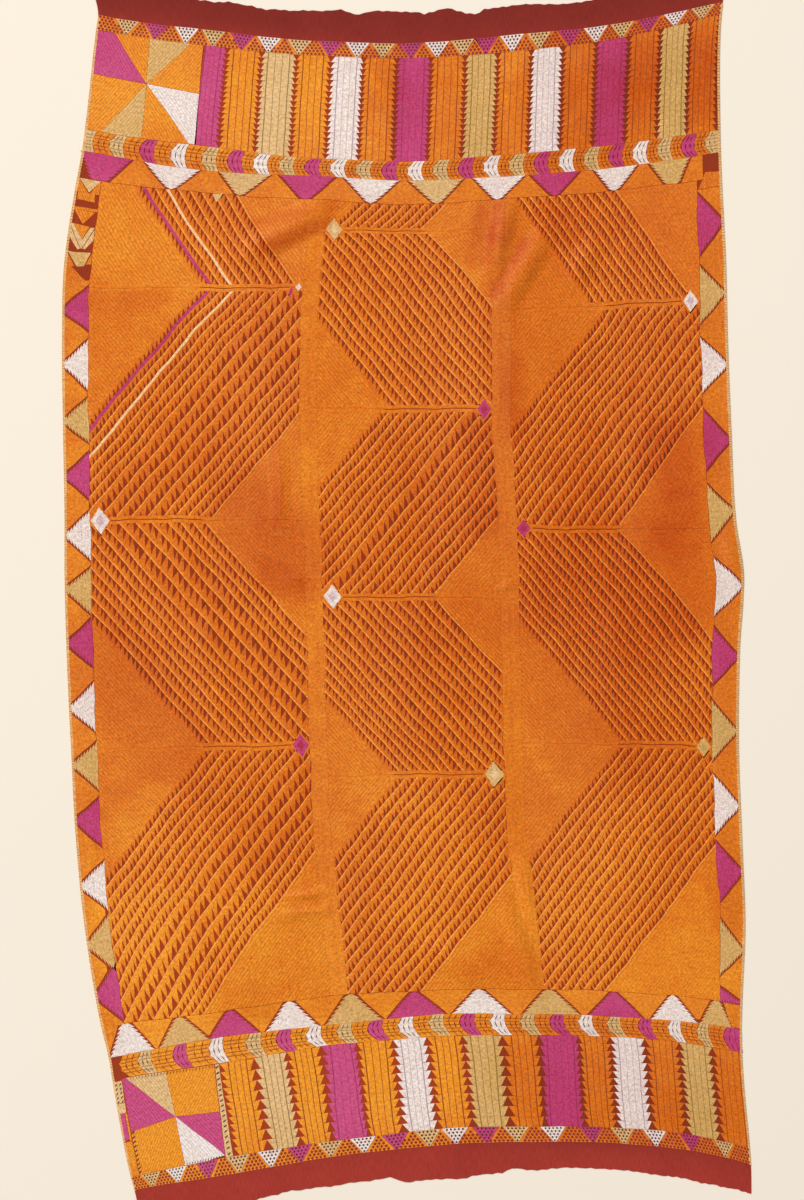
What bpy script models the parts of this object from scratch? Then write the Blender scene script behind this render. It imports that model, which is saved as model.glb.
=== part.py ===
"""Phulkari shawl, a bagh of three khaddar strips seamed side by side and worked all over in floss.

The shawl lies face up on z = 0, with its length along +Y and its width along X, and the middle of its
box is on the origin. Metres, +Z up. The tables below are in millimetres.

Two sets of coordinates are used. "Across" and "along" are measured on the cloth as it was cut, before
it was laid: across runs from the left long edge to the right one, and along runs from the foot to the
top. "X" and "Y" are where that cloth lies, drawn out at its corners and wavy at its long edges.
"""

from collections import namedtuple

import bmesh
import bpy
import numpy as np

MM = 0.001

# The cut: where the strips' long edges are, and where the bare ends and the worked face begin.
STRIP_EDGES = (-677, -181, 207, 677)
STRIP_NAMES = ("panel_left", "panel_middle", "panel_right")
SEAM_GAP = 0.3
TOP_END, TOP_FLOSS = 1195, 1139
FOOT_FLOSS, FOOT_END = -1125, -1181

# Khaddar alone is the bare wall, and khaddar with its layer of floss is the worked wall.
BARE_WALL = 1.2
WORKED_WALL = 1.7

# The mesh: sides of the plain cells, and how many cuts a cell gets beside a fold or a torn end.
CELL = 42
FOLD_CUTS = 3

# One row for each line across the shawl, from the top down: its place along the cloth, then X and Y
# where it crosses the left edge, the two seams and the right edge, then how far it bows up in the
# middle of each strip.
Section = namedtuple(
    "Section",
    "name along x_left x_seam_l x_seam_r x_right y_left y_seam_l y_seam_r y_right bow_l bow_m bow_r",
)
SECTIONS = (
    Section("top_end", TOP_END, -632, -160, 201, 635, 1227, 1169, 1178, 1246, 6, -4, -4),
    Section("top_floss", TOP_FLOSS, -617, -162, 200, 632, 1165, 1112, 1124, 1191, 6, -4, -4),
    Section("stripes_top", 1108, -621, -164, 200, 629, 1134, 1081, 1089, 1166, 2, -2, -2),
    Section("stripes_foot", 902, -643, -172, 198, 626, 938, 878, 886, 936, 8, -4, 0),
    Section("arrows_foot", 859, -649, -174, 197, 627, 892, 841, 841, 890, -6, -4, 0),
    Section("field_top", 811, -659, -178, 196, 629, 838, 794, 796, 840, 0, -7, 0),
    Section("field_a", 672, -684, -185, 190, 637, 674, 670, 670, 678, 0, 0, 0),
    Section("field_b", 512, -689, -195, 187, 641, 514, 512, 508, 516, 0, 0, 0),
    Section("field_c", 334, -687, -195, 188, 648, 334, 334, 332, 336, 0, 0, 0),
    Section("field_d", 151, -684, -189, 200, 658, 154, 154, 146, 150, 0, 0, 0),
    Section("field_e", 51, -684, -185, 203, 672, 54, 52, 48, 50, 0, 0, 0),
    Section("field_f", -107, -680, -180, 206, 665, -106, -106, -106, -110, 0, 0, 0),
    Section("field_g", -299, -671, -175, 211, 663, -304, -298, -294, -302, 0, 0, 0),
    Section("field_h", -483, -661, -166, 218, 670, -488, -482, -476, -490, 0, 0, 0),
    Section("field_i", -647, -643, -148, 238, 676, -666, -644, -634, -658, 0, 0, 0),
    Section("field_foot", -807, -610, -133, 254, 670, -862, -796, -784, -814, -8, 0, 1),
    Section("arrows_top", -860, -596, -127, 260, 669, -920, -851, -832, -862, 2, 5, -2),
    Section("arrows_end", -905, -588, -123, 266, 670, -968, -894, -877, -912, -8, 2, 2),
    Section("stripes_end", -1089, -552, -113, 279, 685, -1158, -1080, -1055, -1098, 0, 4, 2),
    Section("foot_floss", FOOT_FLOSS, -544, -109, 284, 688, -1188, -1116, -1091, -1136, -6, 2, 0),
    Section("foot_end", FOOT_END, -532, -104, 290, 689, -1244, -1172, -1147, -1192, -6, 2, 0),
)

# One row for each notch or point of a torn end: its place across the cloth and the depth of bare
# khaddar that is left there beyond the floss.
Tear = namedtuple("Tear", "across depth")
TOP_TEARS = (
    Tear(-677, 57), Tear(-600, 54), Tear(-520, 58), Tear(-430, 53), Tear(-380, 57), Tear(-314, 52),
    Tear(-225, 57), Tear(-149, 62), Tear(-119, 54), Tear(-85, 63), Tear(12, 63), Tear(27, 58),
    Tear(76, 67), Tear(119, 52), Tear(141, 48), Tear(157, 57), Tear(244, 60), Tear(322, 54),
    Tear(420, 57), Tear(520, 52), Tear(600, 58), Tear(677, 56),
)
FOOT_TEARS = (
    Tear(-677, 56), Tear(-590, 59), Tear(-500, 53), Tear(-410, 58), Tear(-320, 52), Tear(-225, 56),
    Tear(-108, 53), Tear(-85, 66), Tear(-46, 64), Tear(29, 69), Tear(56, 62), Tear(114, 58),
    Tear(124, 49), Tear(173, 55), Tear(233, 49), Tear(293, 50), Tear(398, 54), Tear(456, 56),
    Tear(512, 57), Tear(545, 60), Tear(677, 57),
)

# One row for each fold, a soft hollow ridge: X and Y of its two ends where the shawl lies, the height
# of its crest over the surface, and half its width at the foot.
Fold = namedtuple("Fold", "name x_from y_from x_to y_to height half_width")
FOLDS = (
    Fold("left_top_diagonal", -352, 665, -146, 793, 9, 42),
    Fold("seam_top_upright", 206, 808, 166, 622, 10, 30),
    Fold("right_top_slant", 286, 746, 178, 556, 10, 34),
    Fold("right_top_faint", 386, 732, 322, 606, 5, 32),
    Fold("left_old_crease", -254, 330, -254, 130, 4, 20),
    Fold("left_short_crease", -256, 34, -192, 39, 3, 16),
    Fold("seam_tuck", 180, 20, 222, 23, 3, 14),
    Fold("right_edge_buckle", 636, 146, 664, 14, 5, 26),
    Fold("left_low_crease", -262, -604, -152, -590, 5, 18),
    Fold("left_lower_crease", -276, -635, -140, -625, 5, 18),
    Fold("left_foot_slant", -378, -730, -272, -848, 7, 34),
    Fold("middle_foot_slant", 42, -682, 172, -798, 9, 36),
    Fold("seam_foot_roll", 180, -560, 258, -804, 9, 30),
    Fold("seam_foot_tuck", 222, -500, 262, -700, 6, 22),
)

# One row for each strip: the colour, roughness and metallic value of the cloth seen from afar.
Finish = namedtuple("Finish", "red green blue roughness metallic")
STRIP_FINISH = {
    "panel_left": Finish(0.78, 0.22, 0.035, 0.62, 0.0),
    "panel_middle": Finish(0.74, 0.19, 0.030, 0.62, 0.0),
    "panel_right": Finish(0.71, 0.18, 0.028, 0.62, 0.0),
}


def clear_scene():
    """Start from an empty scene."""
    for old in list(bpy.data.objects):
        bpy.data.objects.remove(old, do_unlink=True)


def section_columns(*names):
    """The named columns of the section table, one row for each section, from the foot upwards."""
    rows = [[getattr(section, name) for name in names] for section in reversed(SECTIONS)]
    return np.array(rows, dtype=float)


def smooth_slopes(places, values):
    """Slope of a smooth curve at each row, weighted by how near the neighbouring rows are."""
    steps = np.diff(places)[:, None]
    rises = np.diff(values, axis=0) / steps
    inner = (rises[:-1] * steps[1:] + rises[1:] * steps[:-1]) / (steps[:-1] + steps[1:])
    return np.vstack((rises[:1], inner, rises[-1:]))


def between_sections(along, names):
    """Values of the named columns at any place along the cloth, on a smooth curve through the rows."""
    places = section_columns("along")[:, 0]
    values = section_columns(*names)
    slopes = smooth_slopes(places, values)
    row = np.clip(np.searchsorted(places, along) - 1, 0, len(places) - 2)
    step = (places[row + 1] - places[row])[:, None]
    part = (along - places[row])[:, None] / step
    return (
        (2 * part**3 - 3 * part**2 + 1) * values[row]
        + (part**3 - 2 * part**2 + part) * step * slopes[row]
        + (3 * part**2 - 2 * part**3) * values[row + 1]
        + (part**3 - part**2) * step * slopes[row + 1]
    )


def curve_through_edges(across, at_edges):
    """The cubic across the shawl that passes through its values at the four strip edges."""
    total = np.zeros(len(across))
    for index, edge in enumerate(STRIP_EDGES):
        weight = np.ones(len(across))
        for other in STRIP_EDGES:
            if other != edge:
                weight *= (across - other) / (edge - other)
        total += weight * at_edges[:, index]
    return total


def bow_of_strips(across, bows):
    """How far the line bows up, from nothing at each seam to the row's value in mid strip."""
    total = np.zeros(len(across))
    for index, (left, right) in enumerate(zip(STRIP_EDGES[:-1], STRIP_EDGES[1:])):
        inside = np.clip((across - left) / (right - left), 0, 1)
        total += bows[:, index] * np.sin(np.pi * inside) ** 2
    return total


def lay(across, along):
    """Where the cloth's points lie on the surface, in millimetres."""
    x_edges = between_sections(along, ("x_left", "x_seam_l", "x_seam_r", "x_right"))
    y_edges = between_sections(along, ("y_left", "y_seam_l", "y_seam_r", "y_right"))
    bows = between_sections(along, ("bow_l", "bow_m", "bow_r"))
    x = curve_through_edges(across, x_edges)
    y = curve_through_edges(across, y_edges) + bow_of_strips(across, bows)
    return x, y


def tear_ends(across, along):
    """Stretch or shorten the bare ends so that they stop at their torn edges."""
    top = np.interp(across, [t.across for t in TOP_TEARS], [t.depth for t in TOP_TEARS])
    foot = np.interp(across, [t.across for t in FOOT_TEARS], [t.depth for t in FOOT_TEARS])
    above = np.maximum(along - TOP_FLOSS, 0) / (TOP_END - TOP_FLOSS)
    below = np.maximum(FOOT_FLOSS - along, 0) / (FOOT_FLOSS - FOOT_END)
    return np.clip(along, FOOT_FLOSS, TOP_FLOSS) + above * top - below * foot


def distance_to_fold(fold, x, y):
    """Distance from the fold's line, and the place beside it as a part of its length."""
    start = np.array((fold.x_from, fold.y_from))
    line = np.array((fold.x_to, fold.y_to)) - start
    length = np.hypot(*line)
    part = ((x - start[0]) * line[0] + (y - start[1]) * line[1]) / length**2
    nearest = np.clip(part, 0, 1)
    away = np.hypot(x - start[0] - nearest * line[0], y - start[1] - nearest * line[1])
    return away, nearest


def fold_height(x, y):
    """Height of the cloth's underside over the surface: nothing, but for the folds."""
    height = np.zeros(len(x))
    for fold in FOLDS:
        away, part = distance_to_fold(fold, x, y)
        crest = np.sin(np.pi * np.clip(part, 0, 1))
        foot = np.clip(1 - (away / fold.half_width) ** 2, 0, 1) ** 2
        height = np.maximum(height, fold.height * crest * foot)
    return height


def wall_thickness(along):
    """The worked wall, thinning to the bare wall just past the last row of floss."""
    bare = np.clip(np.maximum(along - TOP_FLOSS, FOOT_FLOSS - along) / 10, 0, 1)
    return WORKED_WALL + (BARE_WALL - WORKED_WALL) * bare


def row_places():
    """Places along the cloth of the mesh rows: one row for each bare end, even rows between."""
    worked_rows = round((TOP_FLOSS - FOOT_FLOSS) / CELL)
    worked = np.linspace(FOOT_FLOSS, TOP_FLOSS, worked_rows + 1)
    return np.concatenate(([FOOT_END], worked, [TOP_END]))


def needs_fine_cells(face):
    """Whether a cell of the cut cloth lies on a bare end or beside a fold."""
    centre = face.calc_center_median()
    if not FOOT_FLOSS < centre.y < TOP_FLOSS:
        return True
    x, y = lay(np.array([centre.x]), np.array([centre.y]))
    reach = CELL * 0.55
    return any(distance_to_fold(fold, x, y)[0][0] < fold.half_width + reach for fold in FOLDS)


def cut_strip(left, right):
    """One strip as it was cut, a flat grid in across and along, finer where it is torn or folded."""
    rows = row_places()
    columns = round((right - left) / CELL)
    sheet = bmesh.new()
    bmesh.ops.create_grid(sheet, x_segments=columns, y_segments=len(rows) - 1, size=0.5)
    for vert in sheet.verts:
        vert.co.x = left + (vert.co.x + 0.5) * (right - left)
        vert.co.y = rows[round((vert.co.y + 0.5) * (len(rows) - 1))]
    fine = [face for face in sheet.faces if needs_fine_cells(face)]
    edges = list({edge for face in fine for edge in face.edges})
    bmesh.ops.subdivide_edges(sheet, edges=edges, cuts=FOLD_CUTS, use_grid_fill=True)
    bmesh.ops.triangulate(sheet, faces=list(sheet.faces))
    return sheet


def raise_wall(sheet):
    """Give the cut strip its wall, then lay it: underside on the surface, outer face above it."""
    under = list(sheet.verts)
    raised = bmesh.ops.extrude_face_region(sheet, geom=list(sheet.faces), use_keep_orig=True)
    outer = {item for item in raised["geom"] if isinstance(item, bmesh.types.BMVert)}
    verts = under + list(outer)
    across = np.array([vert.co.x for vert in verts])
    along = tear_ends(across, np.array([vert.co.y for vert in verts]))
    x, y = lay(across, along)
    underside = fold_height(x, y)
    thickness = wall_thickness(along)
    for index, vert in enumerate(verts):
        wall = thickness[index] if vert in outer else 0.0
        vert.co = (x[index] * MM, y[index] * MM, (underside[index] + wall) * MM)
    bmesh.ops.recalc_face_normals(sheet, faces=list(sheet.faces))


def cloth_material(name):
    """A plain matt finish in the strip's own colour."""
    finish = STRIP_FINISH[name]
    material = bpy.data.materials.new(name + "_cloth")
    material.use_nodes = True
    shader = material.node_tree.nodes["Principled BSDF"]
    shader.inputs["Base Color"].default_value = (finish.red, finish.green, finish.blue, 1.0)
    shader.inputs["Roughness"].default_value = finish.roughness
    shader.inputs["Metallic"].default_value = finish.metallic
    return material


def make_strip(name, left, right, collection):
    """One strip of the shawl, a closed wall in a node of its own."""
    sheet = cut_strip(left, right)
    raise_wall(sheet)
    mesh = bpy.data.meshes.new(name)
    sheet.to_mesh(mesh)
    sheet.free()
    mesh.materials.append(cloth_material(name))
    strip = bpy.data.objects.new(name, mesh)
    collection.objects.link(strip)
    return strip


def build_shawl():
    """The three strips side by side, parted by the width of the seams."""
    collection = bpy.data.collections.new("phulkari_shawl")
    bpy.context.scene.collection.children.link(collection)
    for name, left, right in zip(STRIP_NAMES, STRIP_EDGES[:-1], STRIP_EDGES[1:]):
        if left != STRIP_EDGES[0]:
            left += SEAM_GAP / 2
        if right != STRIP_EDGES[-1]:
            right -= SEAM_GAP / 2
        make_strip(name, left, right, collection)


clear_scene()
build_shawl()
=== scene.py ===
"""Looks of the phulkari shawl: three khaddar strips seamed side by side and worked in silk floss.

Lengths on the cloth are in millimetres. "Across" and "along" are measured on the cloth as it was cut:
across runs from the left long edge to the right one, along from the foot to the top. lay() says where
that cloth lies on the floor.
"""

from collections import defaultdict, namedtuple

import bpy
import numpy as np
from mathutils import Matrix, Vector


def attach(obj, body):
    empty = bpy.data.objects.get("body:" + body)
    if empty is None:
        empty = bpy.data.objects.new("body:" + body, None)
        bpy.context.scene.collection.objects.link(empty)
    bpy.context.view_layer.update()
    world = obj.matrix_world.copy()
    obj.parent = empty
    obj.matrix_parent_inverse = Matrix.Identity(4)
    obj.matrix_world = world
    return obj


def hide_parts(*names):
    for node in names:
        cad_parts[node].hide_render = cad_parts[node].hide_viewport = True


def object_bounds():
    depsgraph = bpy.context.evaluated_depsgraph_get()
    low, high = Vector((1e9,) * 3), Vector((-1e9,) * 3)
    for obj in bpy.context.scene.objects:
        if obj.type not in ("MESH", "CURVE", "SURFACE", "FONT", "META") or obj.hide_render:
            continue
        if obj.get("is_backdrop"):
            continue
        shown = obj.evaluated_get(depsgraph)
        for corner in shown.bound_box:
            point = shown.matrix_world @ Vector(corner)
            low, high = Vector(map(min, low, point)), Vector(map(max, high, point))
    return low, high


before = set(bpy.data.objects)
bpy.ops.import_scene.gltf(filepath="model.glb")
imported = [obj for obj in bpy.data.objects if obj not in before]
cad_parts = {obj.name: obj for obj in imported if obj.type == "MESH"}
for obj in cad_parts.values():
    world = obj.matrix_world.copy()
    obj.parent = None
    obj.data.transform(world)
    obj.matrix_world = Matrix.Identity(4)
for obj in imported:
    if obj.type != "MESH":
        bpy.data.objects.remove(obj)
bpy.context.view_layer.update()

# ---------------------------------------------------------------------------------------------------
# The room: a plain pale floor, seen from straight above through a long lens, under one broad soft
# light at the upper left and an even sky.

MM = 0.001
VIEW_CENTRE_X, VIEW_CENTRE_Y, VIEW_HEIGHT = -9.6, -6.0, 2400
LENS, SENSOR = 100, 36
FLOOR_SIZE, FLOOR_DROP = 14000, 0.3
FLOOR_COLOUR = (0.90, 0.800, 0.675, 1)
SKY_COLOUR, SKY_STRENGTH = (0.93, 0.96, 1.0, 1), 0.42
LIGHT_SIZE, LIGHT_POWER = 9.6, 5040
LIGHT_COLOUR, LIGHT_PLACE = (1.0, 0.985, 0.96), (-10.8, 10.2, 19.8)


def deselect_all():
    bpy.ops.object.select_all(action="DESELECT")


def set_values(thing, **values):
    """Give a thing its values by name, and return it."""
    for name, value in values.items():
        setattr(thing, name, value)
    return thing


def set_inputs(node, values):
    """Give a node's inputs their plain values."""
    for name, value in values.items():
        node.inputs[name].default_value = value


def new_material(name, shader_values):
    """A material whose shader has these values."""
    material = bpy.data.materials.new(name)
    material.use_nodes = True
    set_inputs(material.node_tree.nodes["Principled BSDF"], shader_values)
    return material


def put_in_room(name, data, place):
    thing = set_values(bpy.data.objects.new(name, data), location=place)
    bpy.context.scene.collection.objects.link(thing)
    return thing


camera_data = set_values(bpy.data.cameras.new("camera"), lens=LENS, sensor_width=SENSOR)
camera_place = (VIEW_CENTRE_X * MM, VIEW_CENTRE_Y * MM, VIEW_HEIGHT * MM * LENS / SENSOR)
bpy.context.scene.camera = put_in_room("camera", camera_data, camera_place)
bpy.context.scene.view_settings.view_transform = "Standard"

light_data = bpy.data.lights.new("soft_light", "AREA")
set_values(light_data, shape="DISK", size=LIGHT_SIZE, energy=LIGHT_POWER, color=LIGHT_COLOUR)
soft_light = put_in_room("soft_light", light_data, LIGHT_PLACE)
soft_light.rotation_euler = soft_light.location.to_track_quat("Z", "Y").to_euler()

sky = set_values(bpy.data.worlds.new("sky"), use_nodes=True)
set_inputs(sky.node_tree.nodes["Background"], {"Color": SKY_COLOUR, "Strength": SKY_STRENGTH})
bpy.context.scene.world = sky

deselect_all()
bpy.ops.mesh.primitive_plane_add(size=FLOOR_SIZE * MM, location=(0, 0, -FLOOR_DROP * MM))
floor = set_values(bpy.context.object, name="floor")
floor.data.materials.append(
    new_material("pale_floor", {"Base Color": FLOOR_COLOUR, "Roughness": 0.9, "Specular IOR Level": 0.1})
)
floor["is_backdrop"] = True

# ---------------------------------------------------------------------------------------------------
# The khaddar: three strips of coarse hand-spun cotton in plain weave, dyed brick red. They lie flat but
# for a few soft folds, and both ends are torn across. The tables repeat the solids' own.

STRIP_EDGES = (-677, -181, 207, 677)
STRIP_NAMES = ("panel_left", "panel_middle", "panel_right")
SEAM_GAP = 0.3
STRIP_CUTS = {"panel_left": (0.496, 2.376), "panel_middle": (0.388, 2.376), "panel_right": (0.470, 2.376)}
TOP_END, TOP_FLOSS = 1195, 1139
FOOT_FLOSS, FOOT_END = -1125, -1181
KHADDAR_WALL, KHADDAR_CELL = 1.1, 10
KHADDAR_SLACK = 0.14
KHADDAR_COLOUR = (0.27, 0.023, 0.015, 1)
KHADDAR_FADED = (0.42, 0.048, 0.030, 1)
# Painted light: the khaddar's colour in the gaps of the floss, for their shade and the orange light that the
# floss throws into them.
KHADDAR_GAP_SHADE_AND_BOUNCE = (0.30, 0.036, 0.006, 1)
YARNS_PER_METRE = 900.0
SLUB_STRETCH, SLUB_SCALE, DYE_SCALE = (9, 1, 1), 60, 14
# Where the khaddar lies under the floss its colour goes toward a painted gap light: painted shade of the
# narrow gaps in the floss and the painted orange light that the floss throws into them. It is in full
# under the field, less under the borders.
GOLD_ACROSS, GOLD_ALONG, BORDER_GAP_LIGHT, BARE_MARGIN = 622, 805, 0.85, 8
SMOOTH_ANGLE = 0.6

Section = namedtuple(
    "Section",
    "name along x_left x_seam_l x_seam_r x_right y_left y_seam_l y_seam_r y_right bow_l bow_m bow_r",
)
SECTIONS = tuple(Section(*row) for row in (
    ("top_end", TOP_END, -632, -160, 201, 635, 1227, 1169, 1178, 1246, 6, -4, -4),
    ("top_floss", TOP_FLOSS, -617, -162, 200, 632, 1165, 1112, 1124, 1191, 6, -4, -4),
    ("stripes_top", 1108, -621, -164, 200, 629, 1134, 1081, 1089, 1166, 2, -2, -2),
    ("stripes_foot", 902, -643, -172, 198, 626, 938, 878, 886, 936, 8, -4, 0),
    ("arrows_foot", 859, -649, -174, 197, 627, 892, 841, 841, 890, -6, -4, 0),
    ("field_top", 811, -659, -178, 196, 629, 838, 794, 796, 840, 0, -7, 0),
    ("field_a", 672, -684, -185, 190, 637, 674, 670, 670, 678, 0, 0, 0),
    ("field_b", 512, -689, -195, 187, 641, 514, 512, 508, 516, 0, 0, 0),
    ("field_c", 334, -687, -195, 188, 648, 334, 334, 332, 336, 0, 0, 0),
    ("field_d", 151, -684, -189, 200, 658, 154, 154, 146, 150, 0, 0, 0),
    ("field_e", 51, -684, -185, 203, 672, 54, 52, 48, 50, 0, 0, 0),
    ("field_f", -107, -680, -180, 206, 665, -106, -106, -106, -110, 0, 0, 0),
    ("field_g", -299, -671, -175, 211, 663, -304, -298, -294, -302, 0, 0, 0),
    ("field_h", -483, -661, -166, 218, 670, -488, -482, -476, -490, 0, 0, 0),
    ("field_i", -647, -643, -148, 238, 676, -666, -644, -634, -658, 0, 0, 0),
    ("field_foot", -807, -610, -133, 254, 670, -862, -796, -784, -814, -8, 0, 1),
    ("arrows_top", -860, -596, -127, 260, 669, -920, -851, -832, -862, 2, 5, -2),
    ("arrows_end", -905, -588, -123, 266, 670, -968, -894, -877, -912, -8, 2, 2),
    ("stripes_end", -1089, -552, -113, 279, 685, -1158, -1080, -1055, -1098, 0, 4, 2),
    ("foot_floss", FOOT_FLOSS, -544, -109, 284, 688, -1188, -1116, -1091, -1136, -6, 2, 0),
    ("foot_end", FOOT_END, -532, -104, 290, 689, -1244, -1172, -1147, -1192, -6, 2, 0),
))

# The notches and points of the torn ends: how far across, and how deep the bare end is there.
TOP_TEARS = (
    (-677, 57), (-600, 54), (-520, 58), (-430, 53), (-380, 57), (-314, 52),
    (-225, 57), (-149, 62), (-119, 54), (-85, 63), (12, 63), (27, 58),
    (76, 67), (119, 52), (141, 48), (157, 57), (244, 60), (322, 54),
    (420, 57), (520, 52), (600, 58), (677, 56),
)
FOOT_TEARS = (
    (-677, 56), (-590, 59), (-500, 53), (-410, 58), (-320, 52), (-225, 56),
    (-108, 53), (-85, 66), (-46, 64), (29, 69), (56, 62), (114, 58),
    (124, 49), (173, 55), (233, 49), (293, 50), (398, 54), (456, 56),
    (512, 57), (545, 60), (677, 57),
)

Fold = namedtuple("Fold", "name x_from y_from x_to y_to height half_width")
FOLDS = tuple(Fold(*row) for row in (
    ("left_top_diagonal", -352, 665, -146, 793, 9, 42),
    ("seam_top_upright", 206, 808, 166, 622, 10, 30),
    ("right_top_slant", 286, 746, 178, 556, 10, 34),
    ("right_top_faint", 386, 732, 322, 606, 5, 32),
    ("left_old_crease", -254, 330, -254, 130, 4, 20),
    ("left_short_crease", -256, 34, -192, 39, 3, 16),
    ("seam_tuck", 180, 20, 222, 23, 3, 14),
    ("right_edge_buckle", 636, 146, 664, 14, 5, 26),
    ("left_low_crease", -262, -604, -152, -590, 5, 18),
    ("left_lower_crease", -276, -635, -140, -625, 5, 18),
    ("left_foot_slant", -378, -730, -272, -848, 7, 34),
    ("middle_foot_slant", 42, -682, 172, -798, 9, 36),
    ("seam_foot_roll", 180, -560, 258, -804, 9, 30),
    ("seam_foot_tuck", 222, -500, 262, -700, 6, 22),
))


def between_sections(along):
    """The section table's columns at any place along the cloth, on smooth curves through its rows."""
    table = np.array([section[1:] for section in reversed(SECTIONS)], dtype=float)
    places, values = table[:, 0], table[:, 1:]
    steps = np.diff(places)[:, None]
    rises = np.diff(values, axis=0) / steps
    inner = (rises[:-1] * steps[1:] + rises[1:] * steps[:-1]) / (steps[:-1] + steps[1:])
    slopes = np.vstack((rises[:1], inner, rises[-1:]))
    row = np.clip(np.searchsorted(places, along) - 1, 0, len(places) - 2)
    step = steps[row]
    part = (along - places[row])[:, None] / step
    return (
        (2 * part**3 - 3 * part**2 + 1) * values[row]
        + (part**3 - 2 * part**2 + part) * step * slopes[row]
        + (3 * part**2 - 2 * part**3) * values[row + 1]
        + (part**3 - part**2) * step * slopes[row + 1]
    )


def curve_through_edges(across, at_edges):
    """The cubic across the shawl that passes through its values at the four strip edges."""
    total = np.zeros(len(across))
    for index, edge in enumerate(STRIP_EDGES):
        weight = np.ones(len(across))
        for other in STRIP_EDGES:
            if other != edge:
                weight *= (across - other) / (edge - other)
        total += weight * at_edges[:, index]
    return total


def bow_of_strips(across, bows):
    """How far the line bows up, from nothing at each seam to the row's value in mid strip."""
    total = np.zeros(len(across))
    for index, (left, right) in enumerate(zip(STRIP_EDGES[:-1], STRIP_EDGES[1:])):
        inside = np.clip((across - left) / (right - left), 0, 1)
        total += bows[:, index] * np.sin(np.pi * inside) ** 2
    return total


def lay(across, along):
    """Where the cloth's points lie on the floor, in millimetres."""
    x_edges, y_edges, bows = np.split(between_sections(along), (4, 8), axis=1)
    y = curve_through_edges(across, y_edges) + bow_of_strips(across, bows)
    return curve_through_edges(across, x_edges), y


def tear_ends(across, along):
    """Stretch or shorten the bare ends so that they stop at their torn edges."""
    top, foot = (np.interp(across, *np.transpose(tears)) for tears in (TOP_TEARS, FOOT_TEARS))
    above = np.maximum(along - TOP_FLOSS, 0) / (TOP_END - TOP_FLOSS)
    below = np.maximum(FOOT_FLOSS - along, 0) / (FOOT_FLOSS - FOOT_END)
    ragged = 1.1 * np.sin(across / 3.1 + 2 * np.sin(across / 23))
    ragged += 0.8 * np.sin(across / 1.7 + across**2 / 9000)
    return np.clip(along, FOOT_FLOSS, TOP_FLOSS) + above * (top + ragged) - below * (foot + ragged)


def near_line(x, y, x_from, y_from, x_to, y_to):
    """For each point, the nearest place on a line, as a part of its length, and how far off it is."""
    run, rise = x_to - x_from, y_to - y_from
    part = ((x - x_from) * run + (y - y_from) * rise) / (run * run + rise * rise)
    nearest = np.clip(part, 0, 1)
    return nearest, np.hypot(x - x_from - nearest * run, y - y_from - nearest * rise)


def fold_height(x, y):
    """Height of the cloth's underside over the floor: nothing, but for the folds."""
    height = np.zeros(len(x))
    for fold in FOLDS:
        nearest, away = near_line(x, y, *fold[1:5])
        foot = np.clip(1 - (away / fold.half_width) ** 2, 0, 1) ** 2
        height = np.maximum(height, fold.height * np.sin(np.pi * nearest) * foot)
    return height


def select_only(piece):
    deselect_all()
    piece.select_set(True)
    bpy.context.view_layer.objects.active = piece


def read(rows, name, width=1, kind=float):
    """A mesh's numbers, one for each row, or one row of so many."""
    values = np.empty(len(rows) * width, dtype=kind)
    rows.foreach_get(name, values)
    return values.reshape(-1, width) if width > 1 else values


def points_of(piece):
    """Three arrays: the piece's points across, along and up."""
    return read(piece.data.vertices, "co", 3).T.copy()


def move_points(piece, across, along, up=0):
    places = np.stack(np.broadcast_arrays(across, along, up), 1).astype(float)
    piece.data.vertices.foreach_set("co", places.ravel())
    piece.data.update()


def mark(piece, **numbers):
    """Store numbers for each point, for the material to read."""
    for name, values in numbers.items():
        attribute = piece.data.attributes.get(name) or piece.data.attributes.new(name, "FLOAT", "POINT")
        values = np.broadcast_to(values, len(piece.data.vertices)).astype(float)
        attribute.data.foreach_set("value", values)


def apply_modifier(piece, kind, **settings):
    select_only(piece)
    set_values(piece.modifiers.new("change", kind), **settings)
    bpy.ops.object.modifier_apply(modifier="change")


def flat_grid(left, right, foot, top, columns, rows):
    """A flat sheet of even cells in the cloth's own sizes."""
    deselect_all()
    bpy.ops.mesh.primitive_grid_add(x_subdivisions=columns, y_subdivisions=rows, size=1)
    sheet = bpy.context.object
    across, along, _ = points_of(sheet) + 0.5
    move_points(sheet, left + across * (right - left), foot + along * (top - foot))
    return sheet


def thicken(sheet, wall):
    """Give a flat sheet its wall, which stands up from z = 0."""
    apply_modifier(sheet, "SOLIDIFY", thickness=wall, offset=1)


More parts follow.
